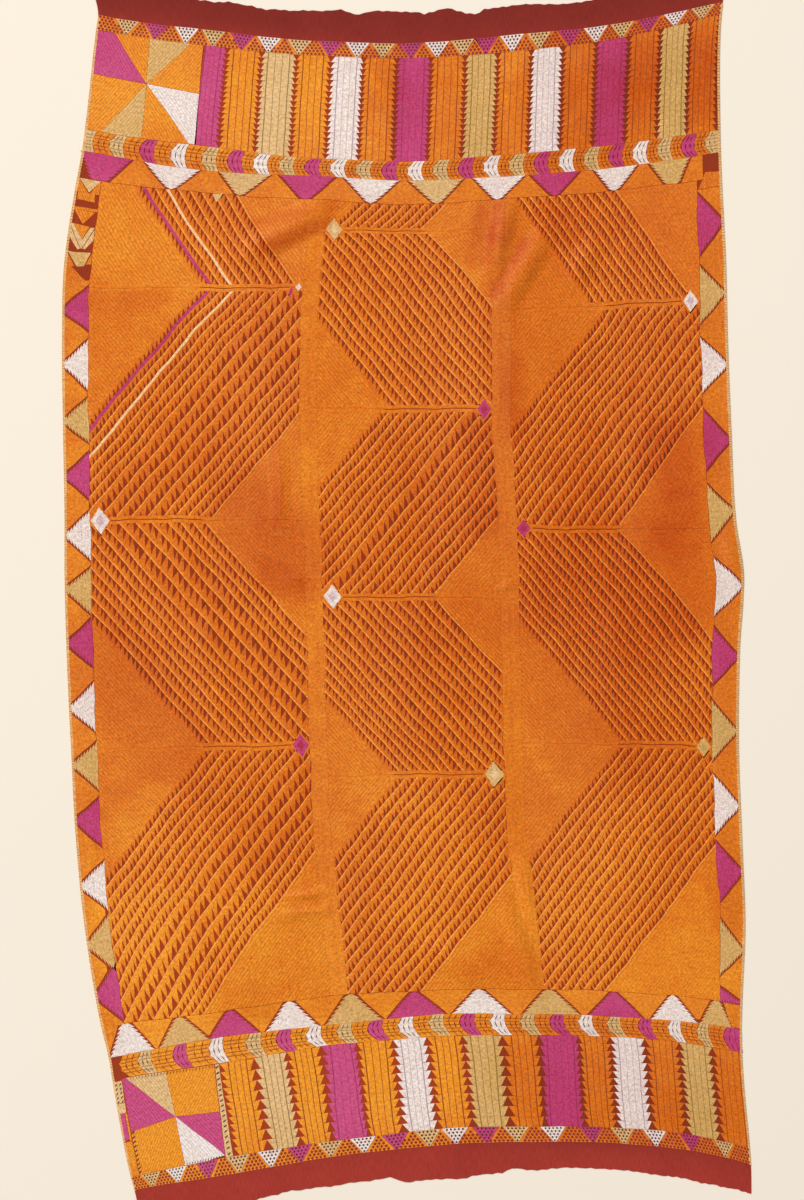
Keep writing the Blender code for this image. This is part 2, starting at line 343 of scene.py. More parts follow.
# One row for each streak or patch where the colour is deeper than the rest, or paler where the last
# number is below zero: the two ends of its middle line on the cloth, and half its width.
Tone = namedtuple("Tone", "name across_from along_from across_to along_to half_width depth")
TONES = tuple(Tone(*row) for row in (
    # These two lie along the upper left fold: partly painted fold shade, partly red khaddar showing where the
    # floss parts over it.
    ("left_fold_streak", -278, 704, -154, 764, 24, 0.65),
    ("left_fold_upper_streak", -314, 750, -144, 800, 16, 0.35),
    ("left_hot_triangle", -310, 170, -235, 90, 105, 0.50),
    # Painted shade along the old crease.
    ("left_crease_streak", -250, 310, -250, 140, 12, 0.40),
    ("left_hot_foot", -270, 40, -205, 10, 42, 0.35),
    ("left_lower_triangle", -600, -120, -480, -280, 110, 0.35),
    ("left_top_smear", -620, 585, -480, 600, 30, 0.25),
    # These three lie along the folds at the top of the right seam: partly painted fold shade, partly red
    # khaddar showing through the parted floss.
    ("seam_streak_a", 156, 790, 142, 674, 16, 0.35),
    ("seam_streak_b", 196, 800, 172, 670, 12, 0.40),
    ("seam_streak_c", 252, 714, 190, 604, 13, 0.50),
    ("right_beside_seam", 232, 470, 236, 340, 34, 0.35),
    ("right_top_rows", 300, 775, 340, 730, 40, 0.25),
    ("right_hot_triangle", 590, 300, 570, -20, 95, 0.30),
    ("middle_hot_triangle", 120, 10, 185, -60, 60, 0.20),
    ("top_stripes_right", 340, 1010, 620, 1010, 140, 0.50),
    ("top_stripes_far_right", 520, 1010, 640, 1010, 110, 0.30),
    ("top_stripes_middle", -80, 1010, -40, 1010, 90, 0.30),
    ("top_stripes_left", -640, 1010, -180, 1010, 150, -0.55),
    ("foot_stripes", -620, -1000, -60, -1000, 170, -0.70),
    ("foot_pinwheel", -600, -1000, -500, -1000, 110, -0.40),
    ("foot_stripes_right", 240, -1000, 640, -1000, 150, 0.30),
    ("lower_field", -600, -760, 600, -760, 260, -0.18),
    ("right_lower_rows", 380, 20, 440, -220, 210, 0.40),
    ("left_border", -650, -760, -650, 560, 34, -0.08),
    ("right_border", 648, -700, 648, 740, 34, 0.15),
    ("bare_top_end", -640, 1190, 640, 1190, 66, 0.55),
    ("bare_foot_end", -640, -1180, 640, -1180, 66, -0.60),
    ("left_lower_rows", -500, -480, -380, -640, 125, -0.42),
    ("left_lower_plain", -570, -660, -530, -790, 120, -0.60),
    ("left_top_plain", -620, 760, -420, 640, 110, -0.25),
    ("right_middle_plain", 540, 290, 540, 140, 80, 0.35),
    ("middle_right_side", 160, 330, 160, 150, 45, 0.35),
    ("middle_broad", 60, 250, 60, -230, 170, 0.20),
    ("seam_top", 190, 800, 190, 740, 50, 0.35),
    ("middle_foot_corner", 80, -775, 200, -760, 55, 0.20),
    ("right_strip", 400, 720, 400, 80, 250, 0.24),
    ("right_seam_side", 205, 740, 215, 120, 40, 0.20),
    ("lower_middle_rows", 20, -450, 20, -640, 130, -0.32),
    ("lower_right_rows", 400, -470, 330, -640, 120, -0.30),
))


def tone_of(across, along):
    """Depth of colour at each point of the cloth, fading out at the edge of each streak or patch."""
    depth = np.zeros(len(across))
    for tone in TONES:
        away = near_line(across, along, *tone[1:5])[1]
        depth += tone.depth * np.clip(1 - (away / tone.half_width) ** 2, 0, 1)
    return depth


# The stray dies out toward the long edges, and is held down beyond the field.
EDGE_CALM = 20
FIELD_STRAY, CALM_OVER, LEAST_STRAY = 850, 60, 0.3


def wander(across, along):
    """How far handwork strays from a straight count of threads."""
    stray_across = (
        1.0 * np.sin(along / 33 + 1.7 * np.sin(across / 71))
        + 0.8 * np.sin(along / 17 + across / 53)
        + 0.5 * np.sin(along / 7.2 + across / 23)
    )
    stray_along = (
        1.0 * np.sin(across / 37 + 2 * np.sin(along / 89))
        + 0.8 * np.sin(across / 16 - along / 61)
        + 0.4 * np.sin(across / 7.5 + along / 29)
    )
    inside = np.clip((STRIP_EDGES[-1] - abs(across)) / EDGE_CALM, 0, 1)
    in_field = np.clip((FIELD_STRAY - abs(along)) / CALM_OVER, LEAST_STRAY, 1)
    return stray_across * inside * in_field, stray_along * in_field


# On the flat map the face takes this part of the breadth, and the back the rest, with margins between.
BAKE_FACE, BAKE_BACK, BAKE_MARGIN = 0.88, 0.095, 0.005


def add_cloth_maps(piece, across, along):
    """A UV map in metres of cloth, a flat one with face and back apart, and the depth of colour."""
    mesh = piece.data
    corners = read(mesh.loops, "vertex_index", kind=np.int32)
    sides = read(mesh.polygons, "loop_total", kind=np.int32)
    back = np.repeat(read(mesh.polygons, "normal", 3)[:, 2] < -0.5, sides)
    short, long = across[corners], along[corners]
    maps = {"cloth": (short * MM, long * MM)}
    if np.ptp(across) > np.ptp(along):
        short, long = long, short
    short = (short - short.min()) / max(np.ptp(short), 1)
    long = BAKE_MARGIN + (1 - 2 * BAKE_MARGIN) * (long - long.min()) / max(np.ptp(long), 1)
    face_places = BAKE_MARGIN + (BAKE_FACE - 2 * BAKE_MARGIN) * short
    maps["OFBake"] = (np.where(back, BAKE_FACE + 4 * BAKE_MARGIN + BAKE_BACK * short, face_places), long)
    for name, places in maps.items():
        mesh.uv_layers.new(name=name).uv.foreach_set("vector", np.stack(places, 1).ravel())
    depth = tone_of(across, along)
    if "shade" in mesh.attributes:
        depth = depth + read(mesh.attributes["shade"].data, "value")
    mark(piece, tone=depth)


def lay_piece(piece, lift, torn=False):
    """Lay a flat piece on the cloth: its points go where the cloth lies, lift above its underside."""
    across, along, height = points_of(piece)
    add_cloth_maps(piece, across, along)
    if torn:
        along = tear_ends(across, along)
    else:
        stray_across, stray_along = wander(across, along)
        across, along = across + stray_across, along + stray_along
    x, y = lay(across, along)
    slack = KHADDAR_SLACK if torn else 0
    z = fold_height(x, y) * (1 - slack) + lift + height
    move_points(piece, x * MM, y * MM, z * MM)
    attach(piece, "root")


# The inputs and the output of a colour mix node, by their numbers.
MIX_INPUTS, MIX_OUTPUT = (0, 6, 7), 2
HALF_TURN, FULL_TURN = 3.14159, 6.28318


class Recipe:
    """A node group in the making, which gives colour, roughness and height at each place of the cloth.

    The values that its methods take are outputs of other nodes, or plain numbers and colours.
    """

    def __init__(self, name, *inputs):
        self.group = bpy.data.node_groups.new(name, "ShaderNodeTree")
        outputs = ("Colour", "Roughness", "Height")
        for socket, way in [(socket, "INPUT") for socket in inputs] + [(s, "OUTPUT") for s in outputs]:
            kind = "NodeSocketColor" if "olour" in socket else "NodeSocketFloat"
            self.group.interface.new_socket(socket, in_out=way, socket_type=kind)
        self.given = self.add("NodeGroupInput").outputs
        self.cloth = self.add("ShaderNodeUVMap", uv_map="cloth").outputs["UV"]

    def add(self, kind, **settings):
        return set_values(self.group.nodes.new(kind), **settings)

    def feed(self, sockets, values):
        for socket, value in zip(sockets, values):
            if isinstance(value, bpy.types.NodeSocket):
                self.group.links.new(value, socket)
            else:
                socket.default_value = value

    def maths(self, operation, *values):
        node = self.add("ShaderNodeMath", operation=operation)
        self.feed(node.inputs, values)
        return node.outputs[0]

    def times_plus(self, value, factor, added):
        return self.maths("MULTIPLY_ADD", value, factor, added)

    def within_one(self, value):
        return self.maths("MINIMUM", self.maths("MAXIMUM", value, 0.0), 1.0)

    def mix(self, factor, first, second, kind="MIX"):
        node = self.add("ShaderNodeMix", data_type="RGBA", blend_type=kind)
        self.feed([node.inputs[number] for number in MIX_INPUTS], (factor, first, second))
        return node.outputs[MIX_OUTPUT]

    def shaded(self, colour, strength):
        """A colour made darker or brighter all over."""
        grey = self.add("ShaderNodeCombineColor")
        self.feed(grey.inputs, [strength] * 3)
        return self.mix(1.0, colour, grey.outputs[0], "MULTIPLY")

    def attribute(self, name):
        return self.add("ShaderNodeAttribute", attribute_name=name).outputs["Fac"]

    def noise(self, places, **values):
        node = self.add("ShaderNodeTexNoise")
        set_inputs(node, values)
        self.feed([node.inputs["Vector"]], [places])
        return node.outputs["Fac"]

    def finish(self, *results):
        self.feed(self.add("NodeGroupOutput").inputs, results)
        return self.group


def weave_group():
    """Plain weave of slubby hand-spun yarn, with uneven dye, and painted gap light under the floss."""
    weave = Recipe("khaddar_weave", "Colour", "Painted gap light colour", "Yarns per metre")
    split = weave.add("ShaderNodeSeparateXYZ")
    weave.feed(split.inputs, [weave.cloth])
    turn = weave.maths("MULTIPLY", weave.given["Yarns per metre"], HALF_TURN)
    warp, weft = (weave.maths("SINE", weave.maths("MULTIPLY", split.outputs[way], turn)) for way in "XY")
    crossing = weave.maths("MULTIPLY", warp, weft)
    stretched = weave.add("ShaderNodeMapping")
    set_inputs(stretched, {"Scale": SLUB_STRETCH})
    weave.feed([stretched.inputs["Vector"]], [weave.cloth])
    slub = weave.noise(stretched.outputs["Vector"], Scale=SLUB_SCALE, Detail=6)
    dye = weave.noise(weave.cloth, Scale=DYE_SCALE, Detail=5)
    faded = weave.mix(weave.maths("MULTIPLY", dye, 0.5), weave.given["Colour"], KHADDAR_FADED)
    # Painted gap shade and bounce light, where the floss covers the khaddar.
    faded = weave.mix(weave.attribute("under_gold"), faded, weave.given["Painted gap light colour"])
    yarn = weave.times_plus(slub, 0.8, weave.times_plus(crossing, 0.12, 0.55))
    yarn = weave.maths("MULTIPLY", yarn, weave.times_plus(weave.attribute("tone"), -0.45, 1.0))
    roughness, height = weave.times_plus(slub, 0.2, 0.75), weave.maths("ADD", crossing, slub)
    return weave.finish(weave.shaded(faded, yarn), roughness, height)


def group_material(name, group, values, bump_distance, shader_values):
    """A material that takes its colour, roughness and, by a bump, its normal from a node group."""
    material = new_material(name, shader_values)
    nodes = material.node_tree.nodes
    shader, placed, bump = (
        nodes["Principled BSDF"], nodes.new("ShaderNodeGroup"), nodes.new("ShaderNodeBump"),
    )
    placed.node_tree = group
    set_inputs(placed, values)
    set_inputs(bump, {"Distance": bump_distance * MM, "Strength": 0.6})
    for source, output, target, socket in (
        (placed, "Colour", shader, "Base Color"), (placed, "Roughness", shader, "Roughness"),
        (placed, "Height", bump, "Height"), (bump, "Normal", shader, "Normal"),
    ):
        material.node_tree.links.new(source.outputs[output], target.inputs[socket])
    return material


khaddar = group_material(
    "brick_red_khaddar", weave_group(),
    {
        "Colour": KHADDAR_COLOUR, "Painted gap light colour": KHADDAR_GAP_SHADE_AND_BOUNCE,
        "Yarns per metre": YARNS_PER_METRE,
    },
    0.15, {"Specular IOR Level": 0.12, "Sheen Weight": 0.05, "Sheen Roughness": 0.6},
)

strips = {}
for name, left, right in zip(STRIP_NAMES, STRIP_EDGES[:-1], STRIP_EDGES[1:]):
    if left != STRIP_EDGES[0]:
        left += SEAM_GAP / 2
    if right != STRIP_EDGES[-1]:
        right -= SEAM_GAP / 2
    columns = round((right - left) / KHADDAR_CELL)
    rows = round((TOP_END - FOOT_END) / KHADDAR_CELL)
    strip = flat_grid(left, right, FOOT_END, TOP_END, columns, rows)
    strip.name = "khaddar_" + name
    across, along, _ = points_of(strip)
    # How much painted gap light the khaddar takes: in full under the field, less under the borders.
    gap_light = np.where((abs(along) < GOLD_ALONG) & (abs(across) < GOLD_ACROSS), 1.0, BORDER_GAP_LIGHT)
    worked = (along > FOOT_FLOSS + BARE_MARGIN) & (along < TOP_FLOSS - BARE_MARGIN)
    mark(strip, under_gold=gap_light * worked)
    thicken(strip, KHADDAR_WALL)
    lay_piece(strip, 0, torn=True)
    bpy.ops.object.shade_smooth_by_angle(angle=SMOOTH_ANGLE)
    strip.data.materials.append(khaddar)
    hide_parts(name)
    strips[name] = strip

# ---------------------------------------------------------------------------------------------------
# The field: zigzag legs of silk floss in each strip. A leg is a set of slanting rows; each row is a
# comb of floss whose gaps are small three-cornered teeth of bare red khaddar, with a paler line of
# stitches along their base. Where the combs end the floss is plain.

FLOSS_WALL = 0.7
FLOSS_LIFT = KHADDAR_WALL - 0.05
ON_FLOSS = FLOSS_LIFT + FLOSS_WALL
FIELD_TOP, FIELD_FOOT = 811, -807
GOLD = (0.76, 0.190, 0.010)
GOLD_DEEP = (0.55, 0.074, 0.001)
GOLD_PALE = (0.87, 0.310, 0.020)
GOLD_LINE = (0.28, 0.050, 0.008)
TOOTH_PITCH, TOOTH_GAP, TOOTH_HEIGHT, TOOTH_STRAY = 0.33, 0.84, 0.76, 0.06
END_TEETH, COMB_TEETH = 8, 110
TOOTH_SHADE, SHADE_FALL = 0.65, 0.6
# Threads lie this far apart in the combs, the row lines, the spines and the plain floss.
COMB_THREAD, LINE_THREAD, SPINE_THREAD, HATCH_PITCH = 2.2, 3.0, 2.4, 8.2
PLAIN_CELL, PLAIN_OVERRUN = 11, 20
LINE_CELL, LINE_OVERRUN, LINE_WALL = 11, 0.05, 0.35
LINE_WIDTHS = {"pale": 3.1, "magenta": 8.0, "cream": 6.4}
LINE_SHADES = {"pale": -0.4, "magenta": 0.35, "cream": -0.4}
SPINE_HALF, SPINE_CELL = 7.5, 10
SPINE_LINE, SPINE_CLOSED = 1.8, 0.4
handwork = np.random.default_rng(7)

# One row for each turning point of a strip's zigzag, from the top down: how the line through the turn
# rises to the right, how far the rows spread there, and the row lines of the leg that goes down from
# it: how far the first lies from the line that joins the two turns, then runs of so many rows at one
# pitch. The first turn is where the combs begin.
Turn = namedtuple("Turn", "across along rise spread first runs")
Zigzag = namedtuple("Zigzag", "name comb_left comb_right turns")
ZIGZAGS = (
    Zigzag("left", -625, -200, (
        Turn(-342, 811, 0, 1.13, -194, ((9, 21),)),
        Turn(-210, 618, 0, 1, -197, ((7, 23), (5, 32), (4, 24))),
        Turn(-605, 149, 0, 1, -200, ((8, 25), (4, 33), (3, 25))),
        Turn(-217, -297, 0, 1, -192, ((8, 24), (4, 33), (3, 23))),
        Turn(-660, -807, 0, 1, 0, ()),
    )),
    Zigzag("middle", -166, 190, (
        Turn(-90, 811, 0, 1, -16, ((9, 21),)),
        Turn(-144, 748, 0, 1, -194, ((16, 24),)),
        Turn(174, 378, 0, 1, -210, ((8, 22.5), (1, 34), (8, 24))),
        Turn(-145, 0, 0, 1, -206, ((6, 21), (11, 25.5))),
        Turn(168, -359, 0, 1, -198, ((16, 24.5),)),
        Turn(-215, -807, 0, 1, 0, ()),
    )),
    Zigzag("right", 228, 621, (
        Turn(438, 811, 0, 1.02, -214, ((11, 20),)),
        Turn(601, 591, 0.037, 1, -174, ((8, 21), (8, 24.5))),
        Turn(241, 142, 0, 1, -172, ((8, 20), (9, 22.5))),
        Turn(604, -298, 0, 1, -182, ((8, 22), (8, 23))),
        Turn(180, -807, 0, 1, 0, ()),
    )),
)


def run_places(first, runs):
    """The places of things that are set out from a first one in runs of so many at one pitch."""
    places = [first]
    for count, pitch in runs:
        for _ in range(count):
            places.append(places[-1] + pitch)
    return places


# Row lines of the left strip's two upper legs that are worked in other colours.
COLOURED_ROWS = {0: "magenta", 2: "cream"}


def floss_group():
    """Untwisted silk floss: fine threads, fine dark lines between blocks of stitches, uneven colour."""
    floss = Recipe(
        "silk_floss", "Colour", "Deep colour", "Pale colour", "Line colour", "Line depth", "Tone depth"
    )
    strands = floss.noise(floss.cloth, Scale=420, Detail=4)
    grain = floss.noise(floss.cloth, Scale=170, Detail=3, Roughness=0.7)
    batches = floss.noise(floss.cloth, Scale=30, Detail=5, Roughness=0.65)
    broad = floss.noise(floss.cloth, Scale=6, Detail=2)
    tone = floss.maths("MULTIPLY", floss.attribute("tone"), floss.given["Tone depth"])
    uneven = floss.times_plus(batches, 0.9, -0.45)
    depth = floss.maths("ADD", tone, floss.maths("ADD", uneven, floss.times_plus(broad, 0.7, -0.35)))
    deeper = floss.within_one(floss.maths("ADD", depth, 0.1))
    paler = floss.within_one(floss.maths("MULTIPLY", depth, -1.5))
    dyed = floss.mix(deeper, floss.given["Colour"], floss.given["Deep colour"])
    dyed = floss.mix(paler, dyed, floss.given["Pale colour"])
    shade = floss.times_plus(grain, 1.6, floss.times_plus(strands, 1.2, -0.4))
    wave = floss.maths("SINE", floss.maths("MULTIPLY", floss.attribute("thread"), FULL_TURN))
    line = floss.maths("POWER", floss.times_plus(wave, 0.5, 0.5), 4.0)
    line = floss.maths("MULTIPLY", line, floss.attribute("hatch"))
    dark = floss.maths("MULTIPLY", line, floss.given["Line depth"])
    lined = floss.mix(dark, floss.shaded(dyed, shade), floss.given["Line colour"])
    return floss.finish(lined, floss.times_plus(batches, 0.25, 0.40), floss.maths("SUBTRACT", strands, line))


silk_floss = floss_group()
FLOSS_SHEEN = {
    "Specular IOR Level": 0.14, "Anisotropic": 0.4, "Sheen Weight": 0.02, "Sheen Roughness": 0.4,
}


def floss_material(name, colour, deep, pale, line, line_depth=0.5, tone_depth=1.0):
    """A floss in one dye."""
    values = {"Line depth": line_depth, "Tone depth": tone_depth}
    colours = {"Colour": colour, "Deep colour": deep, "Pale colour": pale, "Line colour": line}
    values.update({socket: (*dye, 1) for socket, dye in colours.items()})
    return group_material(name, silk_floss, values, 0.25, FLOSS_SHEEN)


gold_floss = floss_material("gold_floss", GOLD, GOLD_DEEP, GOLD_PALE, GOLD_LINE, 0.55)
band_gold_floss = floss_material(
    "band_gold_floss", (0.74, 0.192, 0.011), (0.56, 0.090, 0.007), GOLD_PALE, (0.40, 0.08, 0.01), 0.4
)
pale_line_floss = floss_material(
    "pale_line_floss", (0.85, 0.260, 0.030), (0.70, 0.150, 0.012), (0.92, 0.35, 0.06), GOLD_LINE, 0.2
)
magenta_floss = floss_material(
    "magenta_floss", (0.54, 0.050, 0.168), (0.42, 0.025, 0.068), (0.60, 0.078, 0.210),
    (0.22, 0.020, 0.060), 0.6,
)
cream_floss = floss_material(
    "cream_floss", (0.71, 0.430, 0.180), (0.57, 0.310, 0.090), (0.80, 0.520, 0.240),
    (0.30, 0.170, 0.055), 0.55, 0.5,
)
cream_line_floss = floss_material(
    "cream_line_floss", (0.85, 0.470, 0.190), (0.74, 0.350, 0.110), (0.90, 0.560, 0.270),
    GOLD_LINE, 0.2,
)


def cut_away(sheet, across, along, toward_across, toward_along):
    """Cut a flat sheet along a line through a point, and drop the side that "toward" points to."""
    length = np.hypot(toward_across, toward_along)
    toward = (toward_across / length, toward_along / length, 0)
    select_only(sheet)
    bpy.ops.object.mode_set(mode="EDIT")
    bpy.ops.mesh.select_all(action="SELECT")
    bpy.ops.mesh.bisect(plane_co=(across, along, 0), plane_no=toward, clear_outer=True)
    bpy.ops.object.mode_set(mode="OBJECT")


def join(name, pieces):
    """Make one piece of several."""
    select_only(pieces[0])
    for piece in pieces[1:]:
        piece.select_set(True)
    if len(pieces) > 1:
        bpy.ops.object.join()
    pieces[0].name = name
    pieces[0].data.name = name
    return pieces[0]


def turn_face_up(sheet):
    """Turn a flat sheet over if its faces look down."""
    if sheet.data.polygons[0].normal.z < 0:
        sheet.data.flip_normals()


def finish_floss(name, sheets, material, wall=FLOSS_WALL, lift=FLOSS_LIFT):
    """Join flat sheets into one piece of floss, thicken it and lay it on the cloth."""
    piece = join(name, sheets)
    thicken(piece, wall)
    lay_piece(piece, lift)
    piece.data.materials.append(material)


def model_comb():
    """A row of floss in tooth counts and parts of a row: even at the top, cut into teeth at the foot."""
    deselect_all()
    bpy.ops.mesh.primitive_grid_add(x_subdivisions=1, y_subdivisions=2, size=1)
    row = bpy.context.object
    count, rise, _ = points_of(row) + 0.5
    foot, middle = rise < 0.25, abs(rise - 0.5) < 0.25
    count[foot & (count < 0.5)] = TOOTH_GAP
    rise[middle] = TOOTH_HEIGHT
    count[~foot] += TOOTH_HEIGHT / TOOTH_PITCH
    move_points(row, count - END_TEETH, rise)
    apply_modifier(
        row, "ARRAY", count=COMB_TEETH, use_relative_offset=False, use_constant_offset=True,
        constant_offset_displace=(1, 0, 0), use_merge_vertices=True, merge_threshold=0.001,
    )
    return row


comb = model_comb()


def place_comb(left, right, near, far):
    """A comb on its row: its teeth on the near line, its even edge on the far one."""
    row = comb.copy()
    row.data = comb.data.copy()
    bpy.context.scene.collection.objects.link(row)
    count, rise, _ = points_of(row)
    count = count + handwork.uniform(-TOOTH_STRAY, TOOTH_STRAY, len(count))
    rise = rise + handwork.uniform(-TOOTH_STRAY, TOOTH_STRAY, len(rise)) * (rise < 0.9)
    run = count * TOOTH_PITCH * abs(far - near)
    part = run / (right.across - left.across)
    spread = left.spread + (right.spread - left.spread) * part
    across = left.across + run + (near + (far - near) * rise) * spread
    move_points(row, across, left.along + (right.along - left.along) * part)
    turn_face_up(row)
    mark(row, thread=run / COMB_THREAD, hatch=0.18, shade=TOOTH_SHADE - SHADE_FALL * rise)
    return row


def model_line(left, right, offset, width, shade):
    """A narrow strip of stitches along one row line of a leg."""
    steps = round(np.hypot(right.across - left.across, right.along - left.along) / LINE_CELL)
    strip = flat_grid(0, 1, 0, 1, max(steps, 3), 1)
    part, side, _ = points_of(strip)
    part = part * (1 + 2 * LINE_OVERRUN) - LINE_OVERRUN
    start, end = left.across + offset * left.spread, right.across + offset * right.spread
    across = start + (end - start) * part + width * (side - 0.5)
    move_points(strip, across, left.along + (right.along - left.along) * part)
    turn_face_up(strip)
    mark(strip, thread=part * (right.across - left.across) / LINE_THREAD, hatch=0.5, shade=shade)
    return strip


def model_plain(zigzag, left, right, offset, side):
    """Plain floss beyond a leg's outer row, finely lined the way that its rows run."""
    foot, top = sorted((left.along, right.along))
    foot, top = foot - PLAIN_OVERRUN, top + PLAIN_OVERRUN
    columns = round((zigzag.comb_right - zigzag.comb_left) / PLAIN_CELL)
    rows = round((top - foot) / PLAIN_CELL)
    sheet = flat_grid(zigzag.comb_left, zigzag.comb_right, foot, top, columns, rows)
    start = left.across + offset * left.spread
    run = right.across + offset * right.spread - start
    climb = right.along - left.along
    toward = np.array((abs(climb), -run * np.sign(climb))) * -side
    cut_away(sheet, start, left.along, *toward)
    lean = run / climb
    if zigzag.name == "left" and side < 0:
        lean = -abs(lean)
    across, along, _ = points_of(sheet)
    faint = zigzag.name == "right" and side > 0
    mark(sheet, thread=(across - along * lean) / HATCH_PITCH, hatch=0.45 if faint else 0.75)
    return sheet


def trimmed(zigzag, upper, lower, sheets):
    """A leg's sheets made one, and cut at the limits of its strip and just short of its two spines."""
    piece = join("leg", sheets)
    cut_away(piece, zigzag.comb_left, 0, -1, 0)
    cut_away(piece, zigzag.comb_right, 0, 1, 0)
    top = FIELD_TOP if upper.along >= FIELD_TOP else upper.along - SPINE_HALF
    foot = FIELD_FOOT if lower.along <= FIELD_FOOT else lower.along + SPINE_HALF
    cut_away(piece, upper.across, top, -upper.rise, 1)
    cut_away(piece, lower.across, foot, lower.rise, -1)
    return piece


def model_spine(zigzag, turn, above):
    """The plain strip of floss on one side of a spine; a thin line of khaddar shows between the two."""
    low, high = (0, SPINE_HALF) if above else (-SPINE_HALF, 0)
    columns = round((zigzag.comb_right - zigzag.comb_left) / SPINE_CELL)
    spine = flat_grid(zigzag.comb_left, zigzag.comb_right, low, high, columns, 1)
    across, side, _ = points_of(spine)
    away = across - turn.across
    rows = run_places(turn.first, turn.runs)
    open_line = (away > rows[0]) & (away < rows[-1])
    gap = np.where(open_line, SPINE_LINE, SPINE_CLOSED) / 2
    side = np.where(abs(side) < 1, gap if above else -gap, side)
    move_points(spine, across, turn.along + away * turn.rise + side)
    mark(spine, thread=across / SPINE_THREAD, hatch=0.3)
    return spine


row_lines = {"pale": [], "magenta": [], "cream": []}
for zigzag in ZIGZAGS:
    combs, plains = [], []
    for number, (upper, lower) in enumerate(zip(zigzag.turns[:-1], zigzag.turns[1:])):
        left, right = sorted((upper, lower), key=lambda turn: turn.across)
        rows = run_places(upper.first, upper.runs)
        leg, lines = [], defaultdict(list)
        for index, (far, near) in enumerate(zip(rows[:-1], rows[1:])):
            leg.append(place_comb(left, right, near, far))
            kind = "pale"
            if zigzag.name == "left" and number < 2:
                kind = COLOURED_ROWS.get(index, "pale")
            lines[kind].append(model_line(left, right, near, LINE_WIDTHS[kind], LINE_SHADES[kind]))
        outer = [model_plain(zigzag, left, right, rows[end], side) for end, side in ((0, -1), (-1, 1))]
        plains.append(trimmed(zigzag, upper, lower, outer))
        combs.append(trimmed(zigzag, upper, lower, leg))
        for kind, sheets in lines.items():
            row_lines[kind].append(trimmed(zigzag, upper, lower, sheets))
    for turn in zigzag.turns[1:-1]:
        plains += [model_spine(zigzag, turn, above) for above in (True, False)]
    finish_floss("floss_field_" + zigzag.name, combs + plains, gold_floss)
bpy.data.objects.remove(comb, do_unlink=True)

LINE_MATERIALS = {"pale": pale_line_floss, "magenta": magenta_floss, "cream": cream_line_floss}
for kind, sheets in row_lines.items():
    finish_floss("floss_row_lines_" + kind, sheets, LINE_MATERIALS[kind], LINE_WALL, ON_FLOSS - 0.05)

# ---------------------------------------------------------------------------------------------------
# The bands beside the seams, worked lengthwise in a lighter gold. Small slanted stitches of the same
# floss draw the strips' edges together.

SEAM_BANDS = ((-200.2, -181.05), (-180.95, -165.8), (189.8, 206.95), (207.05, 228.2))
BAND_COLUMNS, BAND_ROWS, BAND_THREAD = 2, 160, 2.6
SEAM_STITCH_PITCH, SEAM_STITCH_WIDTH, SEAM_STITCH_SLANT, SEAM_STITCH_REACH = 8.0, 2.0, 2.5, 3.2
LAST_STITCH_ROOM = 4
RAISED_WALL = 0.3
LONGEST_PLATE = 14
# At this place of a thread the material shows its line colour in full.
ON_DARK_LINE = 0.25


def divide(plates):
    """Cut long plates one way and then the other into shorter ones, which can follow the cloth's folds."""
    for _ in range(2):
        parts = []
        for plate in plates:
            start, ahead, far, aside = (np.array(corner, dtype=float) for corner in plate)
            longest = max(np.hypot(*(ahead - start)), np.hypot(*(far - aside)))
            count = max(int(np.ceil(longest / LONGEST_PLATE)), 1)
            for step in range(count):
                low, high = step / count, (step + 1) / count
                parts.append((
                    aside + (far - aside) * low, start + (ahead - start) * low,
                    start + (ahead - start) * high, aside + (far - aside) * high,
                ))
        plates = parts
    return plates


def model_plates(corners, pitch=2.4, way=(1, 0), hatch=0.3):
    """Flat four-cornered plates of floss, one for each row of four corners that run round it."""
    corners = np.array(divide(corners))
    deselect_all()
    bpy.ops.mesh.primitive_plane_add(size=1)
    sheet = bpy.context.object
    apply_modifier(sheet, "ARRAY", count=len(corners))
    ahead, far, aside = (corners[:, corner] - corners[:, 0] for corner in (1, 2, 3))
    turn = ahead[:, 0] * far[:, 1] - ahead[:, 1] * far[:, 0]
    turn += far[:, 0] * aside[:, 1] - far[:, 1] * aside[:, 0]
    corners = np.where((turn < 0)[:, None, None], corners[:, (0, 3, 2, 1)], corners)
    across, along = corners[:, (0, 1, 3, 2)].reshape(-1, 2).T
    move_points(sheet, across, along)
    mark(sheet, thread=(across * way[0] + along * way[1]) / pitch, hatch=hatch)
    return sheet


def model_dark_lines(corners, strength=2.4):
    """Plates that show the material's line colour, in full at the usual strength."""
    sheet = model_plates(corners, hatch=strength)
    mark(sheet, thread=ON_DARK_LINE)
    return sheet


def stitch(left, right, foot, slant, width):
    """A stitch from left to right, which climbs by its slant."""
    return ((left, foot), (right, foot + slant), (right, foot + slant + width), (left, foot + width))


bands = []
for left, right in SEAM_BANDS:
    band = flat_grid(left, right, FIELD_FOOT, FIELD_TOP, BAND_COLUMNS, BAND_ROWS)
    mark(band, thread=points_of(band)[1] / BAND_THREAD, hatch=0.35)
    bands.append(band)
finish_floss("floss_seam_bands", bands, band_gold_floss)

stitches = [
    stitch(seam - SEAM_STITCH_REACH, seam + SEAM_STITCH_REACH, foot, SEAM_STITCH_SLANT, SEAM_STITCH_WIDTH)
    for seam in STRIP_EDGES[1:-1]
    for foot in np.arange(FIELD_FOOT, FIELD_TOP - LAST_STITCH_ROOM, SEAM_STITCH_PITCH)
]
finish_floss("seam_stitches", [model_plates(stitches)], gold_floss, RAISED_WALL, ON_FLOSS)

# ---------------------------------------------------------------------------------------------------
# The diamonds at the turns of the zigzag, each a lozenge of floss with a narrow gold rim and a core of
# another tone. The smallest one has a magenta sliver beside it.

